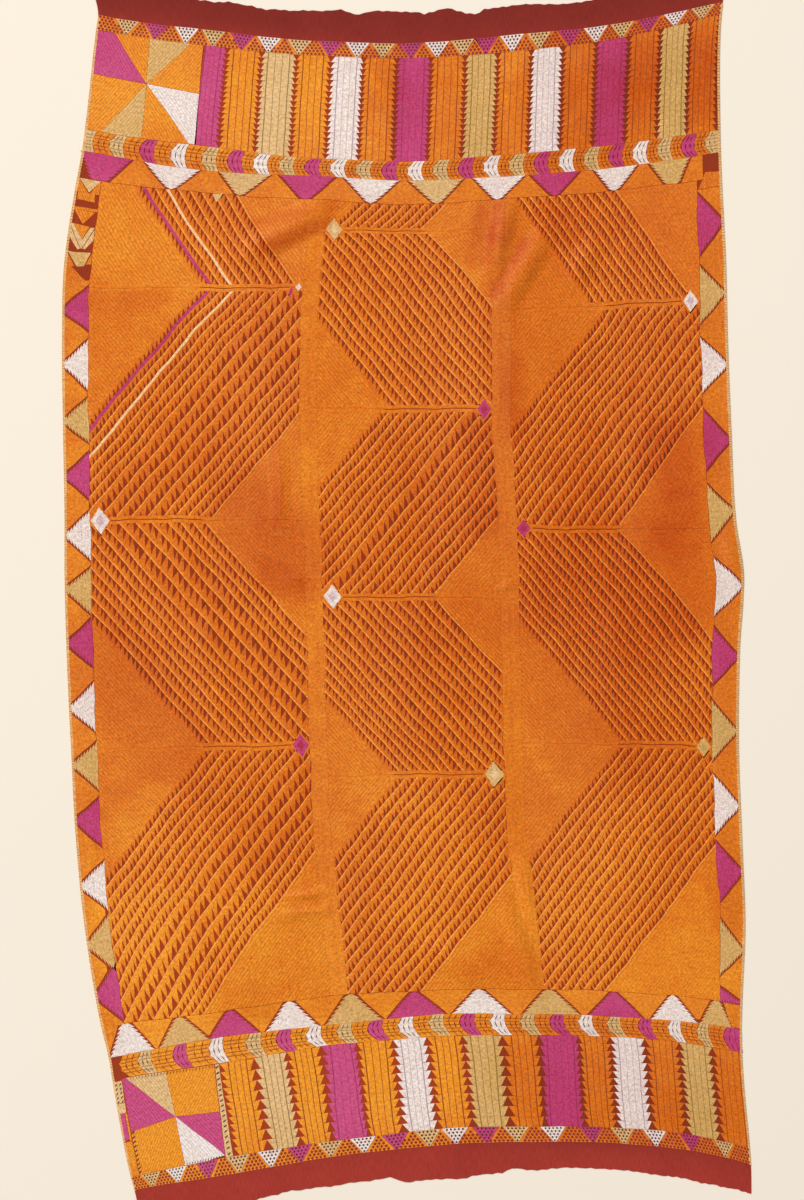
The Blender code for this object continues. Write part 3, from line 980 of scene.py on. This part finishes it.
DIAMOND_RIM, RIM_STRETCH, CORE_PART = 3.4, 1.3, 0.5
DIAMOND_WALL, DIAMOND_LIFT = 0.35, 0.2
CORE_SHADES = {"white": 2.2, "magenta": 0.9, "cream": -1.2, "tan": 1.2}
Diamond = namedtuple("Diamond", "across along half_width half_length colour")
DIAMONDS = tuple(Diamond(*row) for row in (
    (-210, 618, 6, 7, "white"),
    (-224, 608, 4, 13, "magenta"),
    (-605, 149, 19, 26, "white"),
    (-217, -297, 16, 24, "magenta"),
    (-144, 748, 17, 24, "cream"),
    (174, 378, 14, 21, "magenta"),
    (-145, 0, 18, 24, "white"),
    (168, -359, 19, 26, "cream"),
    (601, 591, 16, 21, "white"),
    (241, 142, 14, 18, "magenta"),
    (604, -298, 15, 19, "tan"),
))

white_floss = floss_material(
    "white_floss", (0.83, 0.680, 0.590), (0.62, 0.440, 0.450), (0.88, 0.790, 0.740), (0.42, 0.280, 0.340),
    0.5, 0.35,
)
tan_floss = floss_material(
    "tan_floss", (0.68, 0.385, 0.125), (0.48, 0.260, 0.055), (0.76, 0.450, 0.170), (0.28, 0.150, 0.035),
    0.55, 0.3,
)
FLOSSES = {
    "gold": gold_floss, "magenta": magenta_floss, "cream": cream_floss, "tan": tan_floss,
    "white": white_floss,
}


def lozenge(across, along, half_width, half_length):
    return (
        (across - half_width, along), (across, along - half_length),
        (across + half_width, along), (across, along + half_length),
    )


rims = [
    lozenge(across, along, half_width + DIAMOND_RIM, half_length + DIAMOND_RIM * RIM_STRETCH)
    for across, along, half_width, half_length, _ in DIAMONDS
]
finish_floss("diamond_rims", [model_plates(rims)], band_gold_floss, RAISED_WALL, ON_FLOSS)
for colour, shade in CORE_SHADES.items():
    borders, cores = [], []
    for across, along, half_width, half_length, _ in (row for row in DIAMONDS if row.colour == colour):
        outer = lozenge(across, along, half_width, half_length)
        inner = lozenge(across, along, half_width * CORE_PART, half_length * CORE_PART)
        for corner, after in ((0, 1), (1, 2), (2, 3), (3, 0)):
            borders.append((outer[corner], outer[after], inner[after], inner[corner]))
        cores.append(inner)
    border, core = (model_plates(plates, way=(0, 1), hatch=0.4) for plates in (borders, cores))
    mark(core, shade=shade)
    finish_floss("diamonds_" + colour, [border, core], FLOSSES[colour], DIAMOND_WALL, ON_FLOSS + DIAMOND_LIFT)

# ---------------------------------------------------------------------------------------------------
# The stripes of the two end bands, in coloured floss. Each is a few columns of stitches parted by fine
# dark lines, painted shadow where the columns meet, with a sawtooth column along either side; the teeth
# of two stripes leave a chain of red triangles between them.

COLUMN_WIDTH = 15
# Width and strength of the painted shadow lines: along the two edges of the columns, and between them.
EDGE_SHADOW_LINE, INNER_SHADOW_LINE = (2.2, 2.4), (1.6, 1.5)
FAINT_SHADOW_LINES = {"magenta": 0.45, "white": 0.8}
TOOTH_TIP, NO_TEETH_UNDER, TOOTH_PART = 0.4, 8, 0.96
# Half the width of the red triangles between two stripes, as a part of the gap between their columns.
RED_TRIANGLE_TOP, RED_TRIANGLE_FOOT = 0.26, 0.31
# The outer edges of each stripe's columns at its two ends, and the number of teeth on its left.
Stripe = namedtuple("Stripe", "colour left_top right_top left_foot right_foot teeth")
TOP_STRIPES = tuple(Stripe(*row, 18) for row in (
    ("magenta", -436, -404, -444, -411), ("gold", -375, -330, -377, -333),
    ("cream", -301, -255, -304, -259), ("gold", -226, -183, -229, -187),
    ("white", -151, -111, -156, -118), ("gold", -84, -43, -89, -47),
    ("magenta", -12, 31, -14, 28), ("gold", 60, 103, 55, 98.5),
    ("tan", 134, 173, 128.5, 166), ("gold", 203, 245.5, 196, 239),
    ("white", 274, 311.5, 268, 306), ("gold", 344, 385, 338, 378),
    ("magenta", 415, 456, 408, 447), ("gold", 488, 527, 479, 519),
    ("tan", 557, 594.5, 549, 588), ("gold", 622, 662, 614, 653),
))
FOOT_STRIPES = tuple(Stripe(*row) for row in (
    ("gold", -419, -382, -405, -367, 12), ("cream", -349, -313, -329.5, -296, 9),
    ("gold", -283, -248.5, -265, -229.5, 11), ("magenta", -211, -172, -202.5, -154, 10),
    ("gold", -146, -103, -132.5, -92.5, 11), ("white", -73, -36, -57, -22, 11),
    ("gold", -4.5, 35, 9, 45.5, 11), ("tan", 66, 112, 78, 117.5, 11),
    ("gold", 148.5, 188, 153.5, 193, 9), ("magenta", 221, 275, 218, 273, 9),
    ("gold", 298.5, 338.5, 302, 338.5, 12), ("white", 372, 414.5, 373, 416, 13),
    ("gold", 451.5, 496.5, 450.5, 493, 11), ("tan", 532, 577, 534.5, 578, 12),
    ("gold", 616.5, 668, 618.5, 670, 11),
))


def plate(low, left_low, right_low, high, left_high, right_high):
    """The corners of a plate between two levels."""
    return ((left_low, low), (right_low, low), (right_high, high), (left_high, high))


def upright(low, high, width, top, foot):
    """A plate of one width that leans from its place at the foot to its place at the top."""
    half = width / 2
    return plate(foot, low - half, low + half, top, high - half, high + half)


def stripe_columns(stripe, top, foot):
    """A stripe's plain columns, and the painted shadow lines along their outer edges and between them."""
    width = (stripe.right_top - stripe.left_top + stripe.right_foot - stripe.left_foot) / 2
    columns = max(3, round(width / COLUMN_WIDTH))
    at_foot = np.linspace(stripe.left_foot, stripe.right_foot, columns + 1)
    at_top = np.linspace(stripe.left_top, stripe.right_top, columns + 1)
    halves = np.full(columns + 1, INNER_SHADOW_LINE[0] / 2)
    halves[[0, -1]] = EDGE_SHADOW_LINE[0] / 2
    starts, ends = (at_foot + halves, at_top + halves), (at_foot - halves, at_top - halves)
    plates = [
        plate(foot, starts[0][column], ends[0][column + 1], top, starts[1][column], ends[1][column + 1])
        for column in range(columns)
    ]
    edges = [upright(at_foot[end], at_top[end], EDGE_SHADOW_LINE[0], top, foot) for end in (0, -1)]
    inner = [upright(low, high, INNER_SHADOW_LINE[0], top, foot) for low, high in zip(at_foot[1:-1], at_top[1:-1])]
    return plates, edges, inner


def saw_column(at_foot, at_top, outward, gaps, top, foot, teeth, part):
    """A column of sawteeth: its root along the stripe's edge line, its points outward.

    The points reach the middle of the gap; the red triangles are widest at the foot of each tooth in
    the foot band, where the part is below zero, and at the top of each in the top one.
    """
    root = outward * EDGE_SHADOW_LINE[0] / 2
    if max(gaps) < NO_TEETH_UNDER:
        low, high = (outward * (gap - TOOTH_TIP) for gap in gaps)
        return [plate(foot, at_foot + root, at_foot + low, top, at_top + root, at_top + high)]
    plates = []
    for tooth in range(teeth):
        places = (tooth / teeth, (tooth + TOOTH_PART) / teeth)
        edges = [at_foot + (at_top - at_foot) * place for place in places]
        gap = gaps[0] + (gaps[1] - gaps[0]) * places[0]
        reaches = [gap / 2 - TOOTH_TIP, gap * (0.5 - abs(part))]
        if part < 0:
            reaches.reverse()
        low, high = (foot + (top - foot) * place for place in places)
        plates.append(plate(
            low, edges[0] + root, edges[0] + outward * reaches[0],
            high, edges[1] + root, edges[1] + outward * reaches[1],
        ))
    return plates


def work_stripes(band_name, stripes, top, foot, part, left_limits, right_limits):
    """All the stripes of one end band, one piece for each colour."""
    kinds = defaultdict(lambda: ([], [], []))
    for index, stripe in enumerate(stripes):
        last, after = stripes[max(index - 1, 0)], stripes[min(index + 1, len(stripes) - 1)]
        left_gaps = [stripe.left_foot - last.right_foot, stripe.left_top - last.right_top]
        right_gaps = [after.left_foot - stripe.right_foot, after.left_top - stripe.right_top]
        if last is stripe:
            left_gaps = [2 * (stripe.left_foot - left_limits[0]), 2 * (stripe.left_top - left_limits[1])]
        if after is stripe:
            right_gaps = [2 * (right_limits[0] - stripe.right_foot), 2 * (right_limits[1] - stripe.right_top)]
        for known, made in zip(kinds[stripe.colour], stripe_columns(stripe, top, foot)):
            known.extend(made)
        for at_foot, at_top, outward, gaps, teeth in (
            (stripe.left_foot, stripe.left_top, -1, left_gaps, stripe.teeth),
            (stripe.right_foot, stripe.right_top, 1, right_gaps, after.teeth),
        ):
            saw = saw_column(at_foot, at_top, outward, gaps, top, foot, teeth, part)
            kinds[stripe.colour][0].extend(saw)
    for colour, (plates, edges, inner) in kinds.items():
        faint = FAINT_SHADOW_LINES.get(colour, 1)
        sheets = [
            model_plates(plates, pitch=2.6, way=(0.25, 1)),
            # Dark plates in the floss's line colour: painted shadow where the columns meet.
            model_dark_lines(edges, EDGE_SHADOW_LINE[1] * faint),
            model_dark_lines(inner, INNER_SHADOW_LINE[1] * faint),
        ]
        finish_floss(band_name + "_" + colour, sheets, FLOSSES[colour])


# The numbers are where the band's top and foot lie, and its left and right limits at the foot and the top.
work_stripes("top_stripes", TOP_STRIPES, 1108.6, 900.4, RED_TRIANGLE_TOP, (-445, -437), (668, 674))
work_stripes("foot_stripes", FOOT_STRIPES, -904.4, -1092.6, -RED_TRIANGLE_FOOT, (-421.5, -438), (671, 671))

# ---------------------------------------------------------------------------------------------------
# The pinwheels at the left end of the two bands: squares of coloured floss, cut into sectors that meet
# in the middle. The stitches of each sector slant one way.

# Each sector starts at its place on the rim, turns at a corner and ends where the one before it starts.
Sector = namedtuple("Sector", "colour start corner slant")
Pinwheel = namedtuple("Pinwheel", "name corners middle sectors")
PINWHEELS = (
    Pinwheel(
        "top_pinwheel", ((-673, 900.5), (-442, 900.5), (-442, 1108.5), (-675, 1108.5)), (0.51, 0.54),
        (
            Sector("magenta", (0.17, 1), (0, 1), 1),
            Sector("gold", (0.5, 1), (0.33, 1), 1),
            Sector("tan", (0.88, 1), (0.7, 1), -1),
            Sector("gold", (1, 0.50), (1, 1), -1),
            Sector("white", (0.93, 0), (1, 0), 1),
            Sector("gold", (0.5, 0), (0.7, 0), 1),
            Sector("tan", (0.13, 0), (0.3, 0), -1),
            Sector("gold", (0, 0.56), (0, 0), -1),
        ),
    ),
    Pinwheel(
        "foot_pinwheel", ((-652, -1092.5), (-443, -1092.5), (-448, -905), (-655, -905)), (0.53, 0.53),
        (
            Sector("magenta", (0.04, 1), (0, 1), 1),
            Sector("cream", (0.49, 1), (0.25, 1), 1),
            Sector("gold", (1, 0.50), (1, 1), -1),
            Sector("magenta", (1, 0.02), (1, 0.25), 1),
            Sector("white", (0.55, 0), (0.8, 0), 1),
            Sector("gold", (0, 0.47), (0, 0), -1),
        ),
    ),
)
SECTOR_PART, SECTOR_THREAD, SECTOR_SLANT = 0.992, 7.2, 0.75
for pinwheel in PINWHEELS:
    foot_left, foot_right, top_right, top_left = np.array(pinwheel.corners, dtype=float)
    sheets = defaultdict(list)
    for sector, last in zip(pinwheel.sectors, pinwheel.sectors[-1:] + pinwheel.sectors[:-1]):
        places = []
        for right, up in (pinwheel.middle, sector.start, sector.corner, last.start):
            low = foot_left + (foot_right - foot_left) * right
            high = top_left + (top_right - top_left) * right
            places.append(low + (high - low) * up)
        centre = np.mean(places, axis=0)
        shrunk = [centre + (place - centre) * SECTOR_PART for place in places]
        sheet = model_plates([shrunk], SECTOR_THREAD, (1, SECTOR_SLANT * sector.slant), hatch=0.75)
        sheets[sector.colour].append(sheet)
    for colour, pieces in sheets.items():
        finish_floss(pinwheel.name + "_" + colour, pieces, FLOSSES[colour])

# ---------------------------------------------------------------------------------------------------
# The chevron borders beside the end bands: a row of curved arrowheads of floss that point to the left,
# each of three short columns parted by a line along the border's middle; every other one is gold.

Chevron_Border = namedtuple("Chevron_Border", "name top foot left right point lean turn first runs")
CHEVRON_CYCLE = ("cream", "magenta", "white")
CHEVRON_BORDERS = (
    Chevron_Border("top_chevrons", 900, 859.4, -676, 675, 0, 0, 2, -670, ((4, 65), (20, 53.5))),
    Chevron_Border("foot_chevrons", -862.4, -904, -655, 675, 15, 5, 0, -594, ((3, 78), (12, 61), (4, 69))),
)
# How far the left and the right edge of a coloured one bulge to the left.
CHEVRON_BULGES = (15, 7)
CHEVRON_HALF = 14
CHEVRON_LINE = 1.1
CHEVRON_COLUMNS = 3
UPRIGHT_STRENGTHS = {"gold": 0.45, "cream": 0.35, "magenta": 0.3, "white": 0.3}
MIDDLE_STRENGTHS = {"gold": 1.8, "cream": 1.5, "magenta": 0.6, "white": 0.6}
# The gold and cream ones are crossed by short dark stitches, this far from the middle line.
CROSSING_PLACES, CROSSING_WIDTH, CROSSING_STRENGTH = (-12.6, -6.6, 6.6, 12.6), 1.5, 1.5
CROSSING_INSET, CROSSING_WALL = 2.5, 0.25
# A chevron's place is where its edges reach this part of their bulge.
PLACE_OF_BULGE = 0.66
NO_CROSSING_UNDER = 8


def bent(border, edge, along):
    """Where an upright edge, given by its place at the border's rims and its bulge, is at one height."""
    away = (along * 2 - border.top - border.foot) / (border.top - border.foot)
    return edge[0] - edge[1] * (1 - away * away) - border.lean * away


def curved_strip(border, left, right, low, high, steps=3):
    """An upright strip of a chevron border, bent to the left in its middle."""
    levels = np.linspace(low, high, steps + 1)
    return [
        plate(
            start, bent(border, left, start), bent(border, right, start),
            end, bent(border, left, end), bent(border, right, end),
        )
        for start, end in zip(levels[:-1], levels[1:])
    ]


for border in CHEVRON_BORDERS:
    left_bulge, right_bulge = CHEVRON_BULGES
    edges = [(border.left + border.point, border.point)]
    colours = []
    places = run_places(border.first, border.runs)
    for number, place in enumerate(places):
        left = place - CHEVRON_HALF + left_bulge * PLACE_OF_BULGE
        right = place + CHEVRON_HALF + right_bulge * PLACE_OF_BULGE
        if left - left_bulge > border.left:
            colours.append("gold")
            edges.append((left, left_bulge))
        at_end = number in (0, len(places) - 1)
        colours.append("cream" if at_end and not border.point else CHEVRON_CYCLE[(number + border.turn) % 3])
        edges.append((right, right_bulge) if right < border.right - CHEVRON_HALF else (border.right, 0))
    middle = (border.top + border.foot) / 2
    half = CHEVRON_LINE / 2
    low_middle, high_middle = middle - half, middle + half
    plates, uprights, middles, crossings = (defaultdict(list) for _ in range(4))
    for colour, left, right in zip(colours, edges[:-1], edges[1:]):
        columns = np.linspace(left, right, CHEVRON_COLUMNS + 1)
        for near, far in zip(columns[:-1], columns[1:]):
            if far[0] - near[0] < 2 * half:
                continue
            inner, outer = near + (half, 0), far - (half, 0)
            for low, high in ((border.foot, low_middle), (high_middle, border.top)):
                plates[colour] += curved_strip(border, inner, outer, low, high)
            uprights[colour] += curved_strip(border, near - (half, 0), inner, border.foot, border.top)
            ends = (inner[0] - inner[1], outer[0] - outer[1])
            middles[colour].append(plate(low_middle, *ends, high_middle, *ends))
        if colour in ("cream", "gold") and right[0] - left[0] > NO_CROSSING_UNDER:
            start, end = columns[0] + (CROSSING_INSET, 0), columns[-1] - (CROSSING_INSET, 0)
            for place in CROSSING_PLACES:
                low, high = middle + place - CROSSING_WIDTH / 2, middle + place + CROSSING_WIDTH / 2
                crossings[colour] += curved_strip(border, start, end, low, high, steps=1)
    for colour in plates:
        sheets = [
            model_plates(plates[colour], pitch=2.6, way=(0, 1)),
            model_dark_lines(uprights[colour], UPRIGHT_STRENGTHS[colour]),
            model_dark_lines(middles[colour], MIDDLE_STRENGTHS[colour]),
        ]
        finish_floss(border.name + "_" + colour, sheets, FLOSSES[colour])
    for colour, stitches in crossings.items():
        sheet = model_dark_lines(stitches, CROSSING_STRENGTH)
        name = border.name + "_crossings_" + colour
        finish_floss(name, [sheet], FLOSSES[colour], CROSSING_WALL, ON_FLOSS)

# ---------------------------------------------------------------------------------------------------
# The triangle borders round the field: coloured triangles of floss that stand on a line, with gold
# floss worked in between. Both are stepped row by row, and a zigzag of red khaddar parts them.

PARTING, SAW_STEP, LEAST_ROW = 6.5, 3.6, 0.8
FAN_PITCH, FAN_SLANT = 4.7, 0.8
# For each triangle: its colour, where it starts and ends on the base line, and where its tip does.
Border = namedtuple("Border", "name sideways base tip start end rows triangles")
BORDERS = (
    Border("top_triangles", False, 859, 811.8, -652, 636, 7, (
        ("magenta", -678, -573, -648, -614), ("white", -543, -432, -487, -478),
        ("cream", -388, -285, -347, -338), ("magenta", -264, -149, -214, -198),
        ("white", -129, -18, -77, -67), ("cream", 5, 116, 60, 70),
        ("white", 141, 247, 185, 196), ("magenta", 262, 364, 308, 319),
        ("white", 399, 489, 434, 447), ("tan", 519, 606, 552, 580),
    )),
    Border("foot_triangles", False, -862, -807.8, -676, 628, 7, (
        ("white", -672, -576, -634, -614), ("tan", -560, -456, -515, -501),
        ("magenta", -452, -353, -409, -401), ("white", -334, -232, -290, -278),
        ("tan", -215, -104, -167, -153), ("magenta", -90, 20, -39, -31),
        ("white", 38, 152, 89, 101), ("tan", 180, 296, 230, 246),
        ("magenta", 318, 434, 372, 380), ("white", 456, 562, 502, 514),
        ("tan", 572, 652, 603, 619),
    )),
    Border("left_triangles", True, -625.6, -675, -808, 632, 8, (
        ("magenta", -800, -706, -757, -751), ("tan", -716, -624, -676, -670),
        ("white", -612, -524, -571, -565), ("magenta", -490, -398, -447, -441),
        ("tan", -378, -288, -336, -330), ("white", -264, -172, -222, -216),
        ("magenta", -138, -48, -96, -90), ("tan", -34, 54, 8, 14),
        ("white", 72, 166, 116, 122), ("magenta", 194, 286, 236, 242),
        ("tan", 308, 396, 349, 355), ("white", 416, 508, 460, 466),
        ("magenta", 530, 618, 570, 576),
    )),
    Border("right_triangles", True, 621.8, 673, -808, 794, 8, (
        ("magenta", -807.5, -780, -806, -802), ("tan", -752, -640, -700, -694),
        ("magenta", -600, -486, -545, -539), ("white", -470, -356, -416, -410),
        ("tan", -324, -208, -268, -262), ("magenta", -172, -60, -119, -113),
        ("white", -34, 80, 20, 26), ("tan", 116, 226, 168, 174),
        ("magenta", 258, 370, 311, 317), ("white", 408, 516, 459, 465),
        ("tan", 548, 658, 601, 607), ("magenta", 680, 786, 731, 737),
    )),
)


def step_rows(border, left, right, left_swell, right_swell):
    """Rows of stitches between two edges, each given by its places on the base line and at the tip.

    By the swell each row is wider at its start, and narrower at its end, than the edges are.
    """
    plates = []
    for row in range(border.rows):
        corners = []
        for part, sign in ((row / border.rows, 1), ((row + 1) / border.rows, -1)):
            start = left[0] + (left[1] - left[0]) * part - sign * left_swell
            end = right[0] + (right[1] - right[0]) * part + sign * right_swell
            corners += [border.base + (border.tip - border.base) * part, start, end]
        low, start_low, end_low, high, start_high, end_high = corners
        if end_low - start_low < LEAST_ROW:
            continue
        row_plate = plate(low, start_low, end_low, high, start_high, max(end_high, start_high + LEAST_ROW))
        plates.append([(depth, place) for place, depth in row_plate] if border.sideways else row_plate)
    return plates


for border in BORDERS:
    sheets, gold = defaultdict(list), []
    left, swell = (border.start, border.start), 0
    for colour, start, end, tip_start, tip_end in border.triangles:
        if start > border.start + 1:
            gold += step_rows(border, left, (start - PARTING, tip_start - PARTING), swell, 0)
        sheet = model_plates(
            step_rows(border, (start, tip_start), (end, tip_end), SAW_STEP, SAW_STEP), hatch=0.55
        )
        across, along, _ = points_of(sheet)
        if border.sideways:
            across, along = along, across
        aside = abs(across - (tip_start + tip_end) / 2)
        mark(sheet, thread=(aside - abs(along - border.base) * FAN_SLANT) / FAN_PITCH)
        sheets[colour].append(sheet)
        left = (end + PARTING, tip_end + PARTING)
    if left[0] - PARTING < border.end:
        gold += step_rows(border, left, (border.end, border.end), 0, 0)
    for colour, pieces in sheets.items():
        finish_floss(border.name + "_" + colour, pieces, FLOSSES[colour])
    sheet = model_plates(gold, pitch=6.4, way=(1, 0.8), hatch=0.5)
    finish_floss(border.name + "_gold", [sheet], band_gold_floss)

# ---------------------------------------------------------------------------------------------------
# The dotted borders at the outer edge of the worked face: triangles that point down, set with dots of
# dark thread in rows of five down to one, on a gold ground with lozenges of dark red.

DOT_SIZE, DOT_PITCH, DOT_ROWS = 5.0, 7.8, 5
KNOT_SIZE, KNOT_PITCH, KNOT_ROWS, KNOT_WALL = 7.0, 8.4, 5, 0.25
DOTTED_HALF, DOTTED_TIP = 26, 2
# The colours follow one another in turn, and each triangle is given by its middle.
Dotted = namedtuple("Dotted", "name top foot left right colours middles")
DOTTED_BORDERS = (
    Dotted("top_dots", 1138, 1109, -676, 676, ("cream", "magenta", "white"), (
        -612, -548, -482, -423, -360, -302, -237, -171, -113, -58, 2, 58, 113, 162, 218, 276, 342,
        399, 456, 514, 573, 633,
    )),
    Dotted("foot_dots", -1093, -1123, -676, 676, ("cream", "white", "magenta"), (
        -625, -560, -486, -416, -347, -284, -223, -157, -93, -29, 25, 85, 145, 220, 298, 365, 437,
        520, 606,
    )),
)
dark_dots = floss_material(
    "dark_dots", (0.100, 0.025, 0.030), (0.05, 0.010, 0.012), (0.14, 0.040, 0.040), (0.03, 0.010, 0.010),
    0.2, 0.2,
)
red_dots = floss_material(
    "red_dots", (0.30, 0.030, 0.016), (0.20, 0.015, 0.010), (0.36, 0.045, 0.022), (0.10, 0.010, 0.010),
    0.2, 0.2,
)

for border in DOTTED_BORDERS:
    height = border.top - border.foot
    plates, dark, red = defaultdict(list, gold=[]), [], []
    middles = list(border.middles)
    halves = np.minimum(DOTTED_HALF, np.diff(middles) / 2 - 0.5)
    left_halves, right_halves = np.append(DOTTED_HALF, halves), np.append(halves, DOTTED_HALF)
    for number, (middle, left, right) in enumerate(zip(middles, left_halves, right_halves)):
        plates[border.colours[number % 3]].append(plate(
            border.foot, middle - DOTTED_TIP, middle + DOTTED_TIP, border.top, middle - left, middle + right
        ))
        for row in range(DOT_ROWS):
            count = DOT_ROWS - row
            along = border.top - height * (row + 0.5) / DOT_ROWS
            for dot in range(count):
                across = middle + (dot - (count - 1) / 2) * DOT_PITCH
                dark.append(lozenge(across, along, DOT_SIZE / 2, DOT_SIZE / 2))
    for before, after in zip([None] + middles, middles + [None]):
        foot_left = border.left if before is None else before + DOTTED_TIP + 1
        foot_right = border.right if after is None else after - DOTTED_TIP - 1
        top_left = border.left if before is None else min(before + DOTTED_HALF + 1, foot_right - 1)
        top_right = border.right if after is None else max(after - DOTTED_HALF - 1, top_left + 1)
        plates["gold"].append(plate(border.foot, foot_left, foot_right, border.top, top_left, top_right))
        for row in range(KNOT_ROWS):
            part = (row + 0.5) / KNOT_ROWS
            left = foot_left + (top_left - foot_left) * part
            right = foot_right + (top_right - foot_right) * part
            first = np.ceil((left + 2) / KNOT_PITCH + row / 2)
            for place in np.arange(first * KNOT_PITCH, right + (row / 2 - 0.3) * KNOT_PITCH, KNOT_PITCH):
                across, along = place - row / 2 * KNOT_PITCH, border.foot + height * part
                red.append(lozenge(across, along, KNOT_SIZE / 2, KNOT_SIZE / 2))
    for colour, corners in plates.items():
        sheet = model_plates(corners, pitch=3.0, way=(0, 1), hatch=0.4)
        finish_floss(border.name + "_" + colour, [sheet], FLOSSES[colour])
    for kind, knots, thread in (("dark", dark, dark_dots), ("red", red, red_dots)):
        name = border.name + "_" + kind + "_knots"
        finish_floss(name, [model_plates(knots)], thread, KNOT_WALL, ON_FLOSS)

# ---------------------------------------------------------------------------------------------------
# The corner pieces: the odd small motifs that fill up the places where the bands and borders meet. They
# are flat floss like the rest, and what they leave bare is red khaddar.

CORNER_PATCHES = (
    # Upper left, from the top down.
    ("cream", ((-673, 810.5), (-627, 810.5), (-646.5, 789), (-647.5, 789))),
    ("gold", ((-676, 811), (-674.5, 811), (-649, 787), (-676, 787))),
    ("gold", ((-627, 811), (-626, 811), (-626, 787), (-645, 787))),
    ("gold", ((-670, 787), (-635, 787), (-633, 774), (-670, 774))),
    ("gold", ((-676, 762), (-626, 763), (-626, 758), (-676, 758))),
    ("gold", ((-673, 758), (-631, 757), (-649.5, 736), (-650.5, 736))),
    ("cream", ((-676, 735), (-668, 735), (-648, 709), (-648, 693))),
    ("cream", ((-648, 693), (-648, 709), (-634, 731), (-626, 731))),
    ("gold", ((-667, 735), (-636, 732), (-648, 711), (-648.8, 711))),
    ("cream", ((-676, 733), (-650, 694), (-655, 692), (-676, 716))),
    ("cream", ((-646, 694), (-626, 728), (-626, 709), (-641, 692))),
    ("tan", ((-673, 688), (-628, 686), (-641, 661), (-655, 661))),
    ("gold", ((-676, 686), (-675, 686), (-658, 661), (-676, 661))),
    ("gold", ((-627, 683), (-626, 683), (-626, 664), (-637, 664))),
    ("gold", ((-676, 661), (-664, 661), (-633, 632), (-676, 632))),
    # Upper right.
    ("gold", ((624, 795), (675, 795), (675, 822), (642, 825))),
    # Lower left, from the top down.
    ("cream", ((-676, -908), (-656, -908), (-658, -948), (-676, -948))),
    ("cream", ((-676, -949), (-657, -949), (-658, -967), (-676, -967))),
    ("magenta", ((-676, -968), (-661, -968), (-661, -1016), (-676, -1020))),
    ("gold", ((-660, -968), (-656, -968), (-655, -1020), (-660, -1018))),
    ("gold", ((-676, -1021), (-655, -1021), (-653, -1092.5), (-676, -1092.5))),
    ("cream", ((-446.5, -905), (-438.5, -905), (-426, -1092), (-442, -1092))),
    # Lower right, beside the last triangle.
    ("gold", ((629, -809), (675, -809), (675, -861), (650, -861))),
)
# Rows of small slanted dashes: the two ends of each, how many, and the width and height of one.
CORNER_DASHES = (
    ((-649, -1006), (-649, -1086), 10, 7.0, 3.0),
    ((-671, -914), (-672, -946), 5, 4.6, 2.6),
    ((-661, -914), (-662, -946), 5, 4.6, 2.6),
    ((-442.5, -910), (-434, -1087), 17, 6.4, 3.0),
    ((-636, -908), (-452, -908), 27, 1.6, 3.0),
    ((-532, -1090), (-450, -1090), 14, 2.4, 2.6),
)
patches = defaultdict(list)
for colour, corners in CORNER_PATCHES:
    patches[colour].append(corners)
for colour, corners in patches.items():
    sheet = model_plates(corners, pitch=6.0, way=(1, 0.8), hatch=0.9 if colour == "gold" else 0.45)
    finish_floss("corner_" + colour, [sheet], FLOSSES[colour])
dashes = [
    stitch(across - wide / 2, across + wide / 2, along - high, high, high)
    for start, end, count, wide, high in CORNER_DASHES
    for across, along in np.linspace(start, end, count)
]
finish_floss("corner_dashes", [model_plates(dashes)], dark_dots, KNOT_WALL, ON_FLOSS)
# A small triangle stands on the left strip's first rows.
FIRST_ROWS_TRIANGLE = ((-398, 810), (-377, 812), (-387, 794), (-389, 794))
sheet = model_plates([FIRST_ROWS_TRIANGLE], hatch=0.4)
finish_floss("first_rows_triangle", [sheet], cream_floss, RAISED_WALL, ON_FLOSS + RAISED_WALL)

# ---------------------------------------------------------------------------------------------------
# The long edges: a narrow overcast of pale yellow thread on the two selvedges, whipped over the edge
# stitch by stitch. Each stitch is a small slanted block, a little thicker than cloth and floss together.

OVERCAST_PITCH, OVERCAST_WALL = 5.0, 1.9
OVERCAST_REACH, OVERCAST_OVERHANG = 4.6, 0.6
OVERCAST_SLANT_AND_WIDTH = (1.2, 4.3)
overcast_thread = floss_material(
    "overcast_thread", (0.76, 0.430, 0.170), (0.60, 0.300, 0.080), (0.80, 0.560, 0.280),
    (0.40, 0.180, 0.030), 0.4, 0.2,
)
stitches = [
    stitch(
        edge - OVERCAST_OVERHANG * inward, edge + OVERCAST_REACH * inward, foot, *OVERCAST_SLANT_AND_WIDTH
    )
    for edge, inward in ((STRIP_EDGES[0], 1), (STRIP_EDGES[-1], -1))
    for foot in np.arange(FOOT_FLOSS, TOP_FLOSS - LAST_STITCH_ROOM, OVERCAST_PITCH)
]
finish_floss("long_edge_overcast", [model_plates(stitches)], overcast_thread, OVERCAST_WALL, 0)

# ---------------------------------------------------------------------------------------------------
# The cut of each strip, as its weaver would give it: a length of narrow loom cloth. Each strip and its
# cut are only looked up here.

strips["panel_left"]
STRIP_CUTS["panel_left"]
strips["panel_middle"]
STRIP_CUTS["panel_middle"]
strips["panel_right"]
STRIP_CUTS["panel_right"]

low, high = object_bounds()
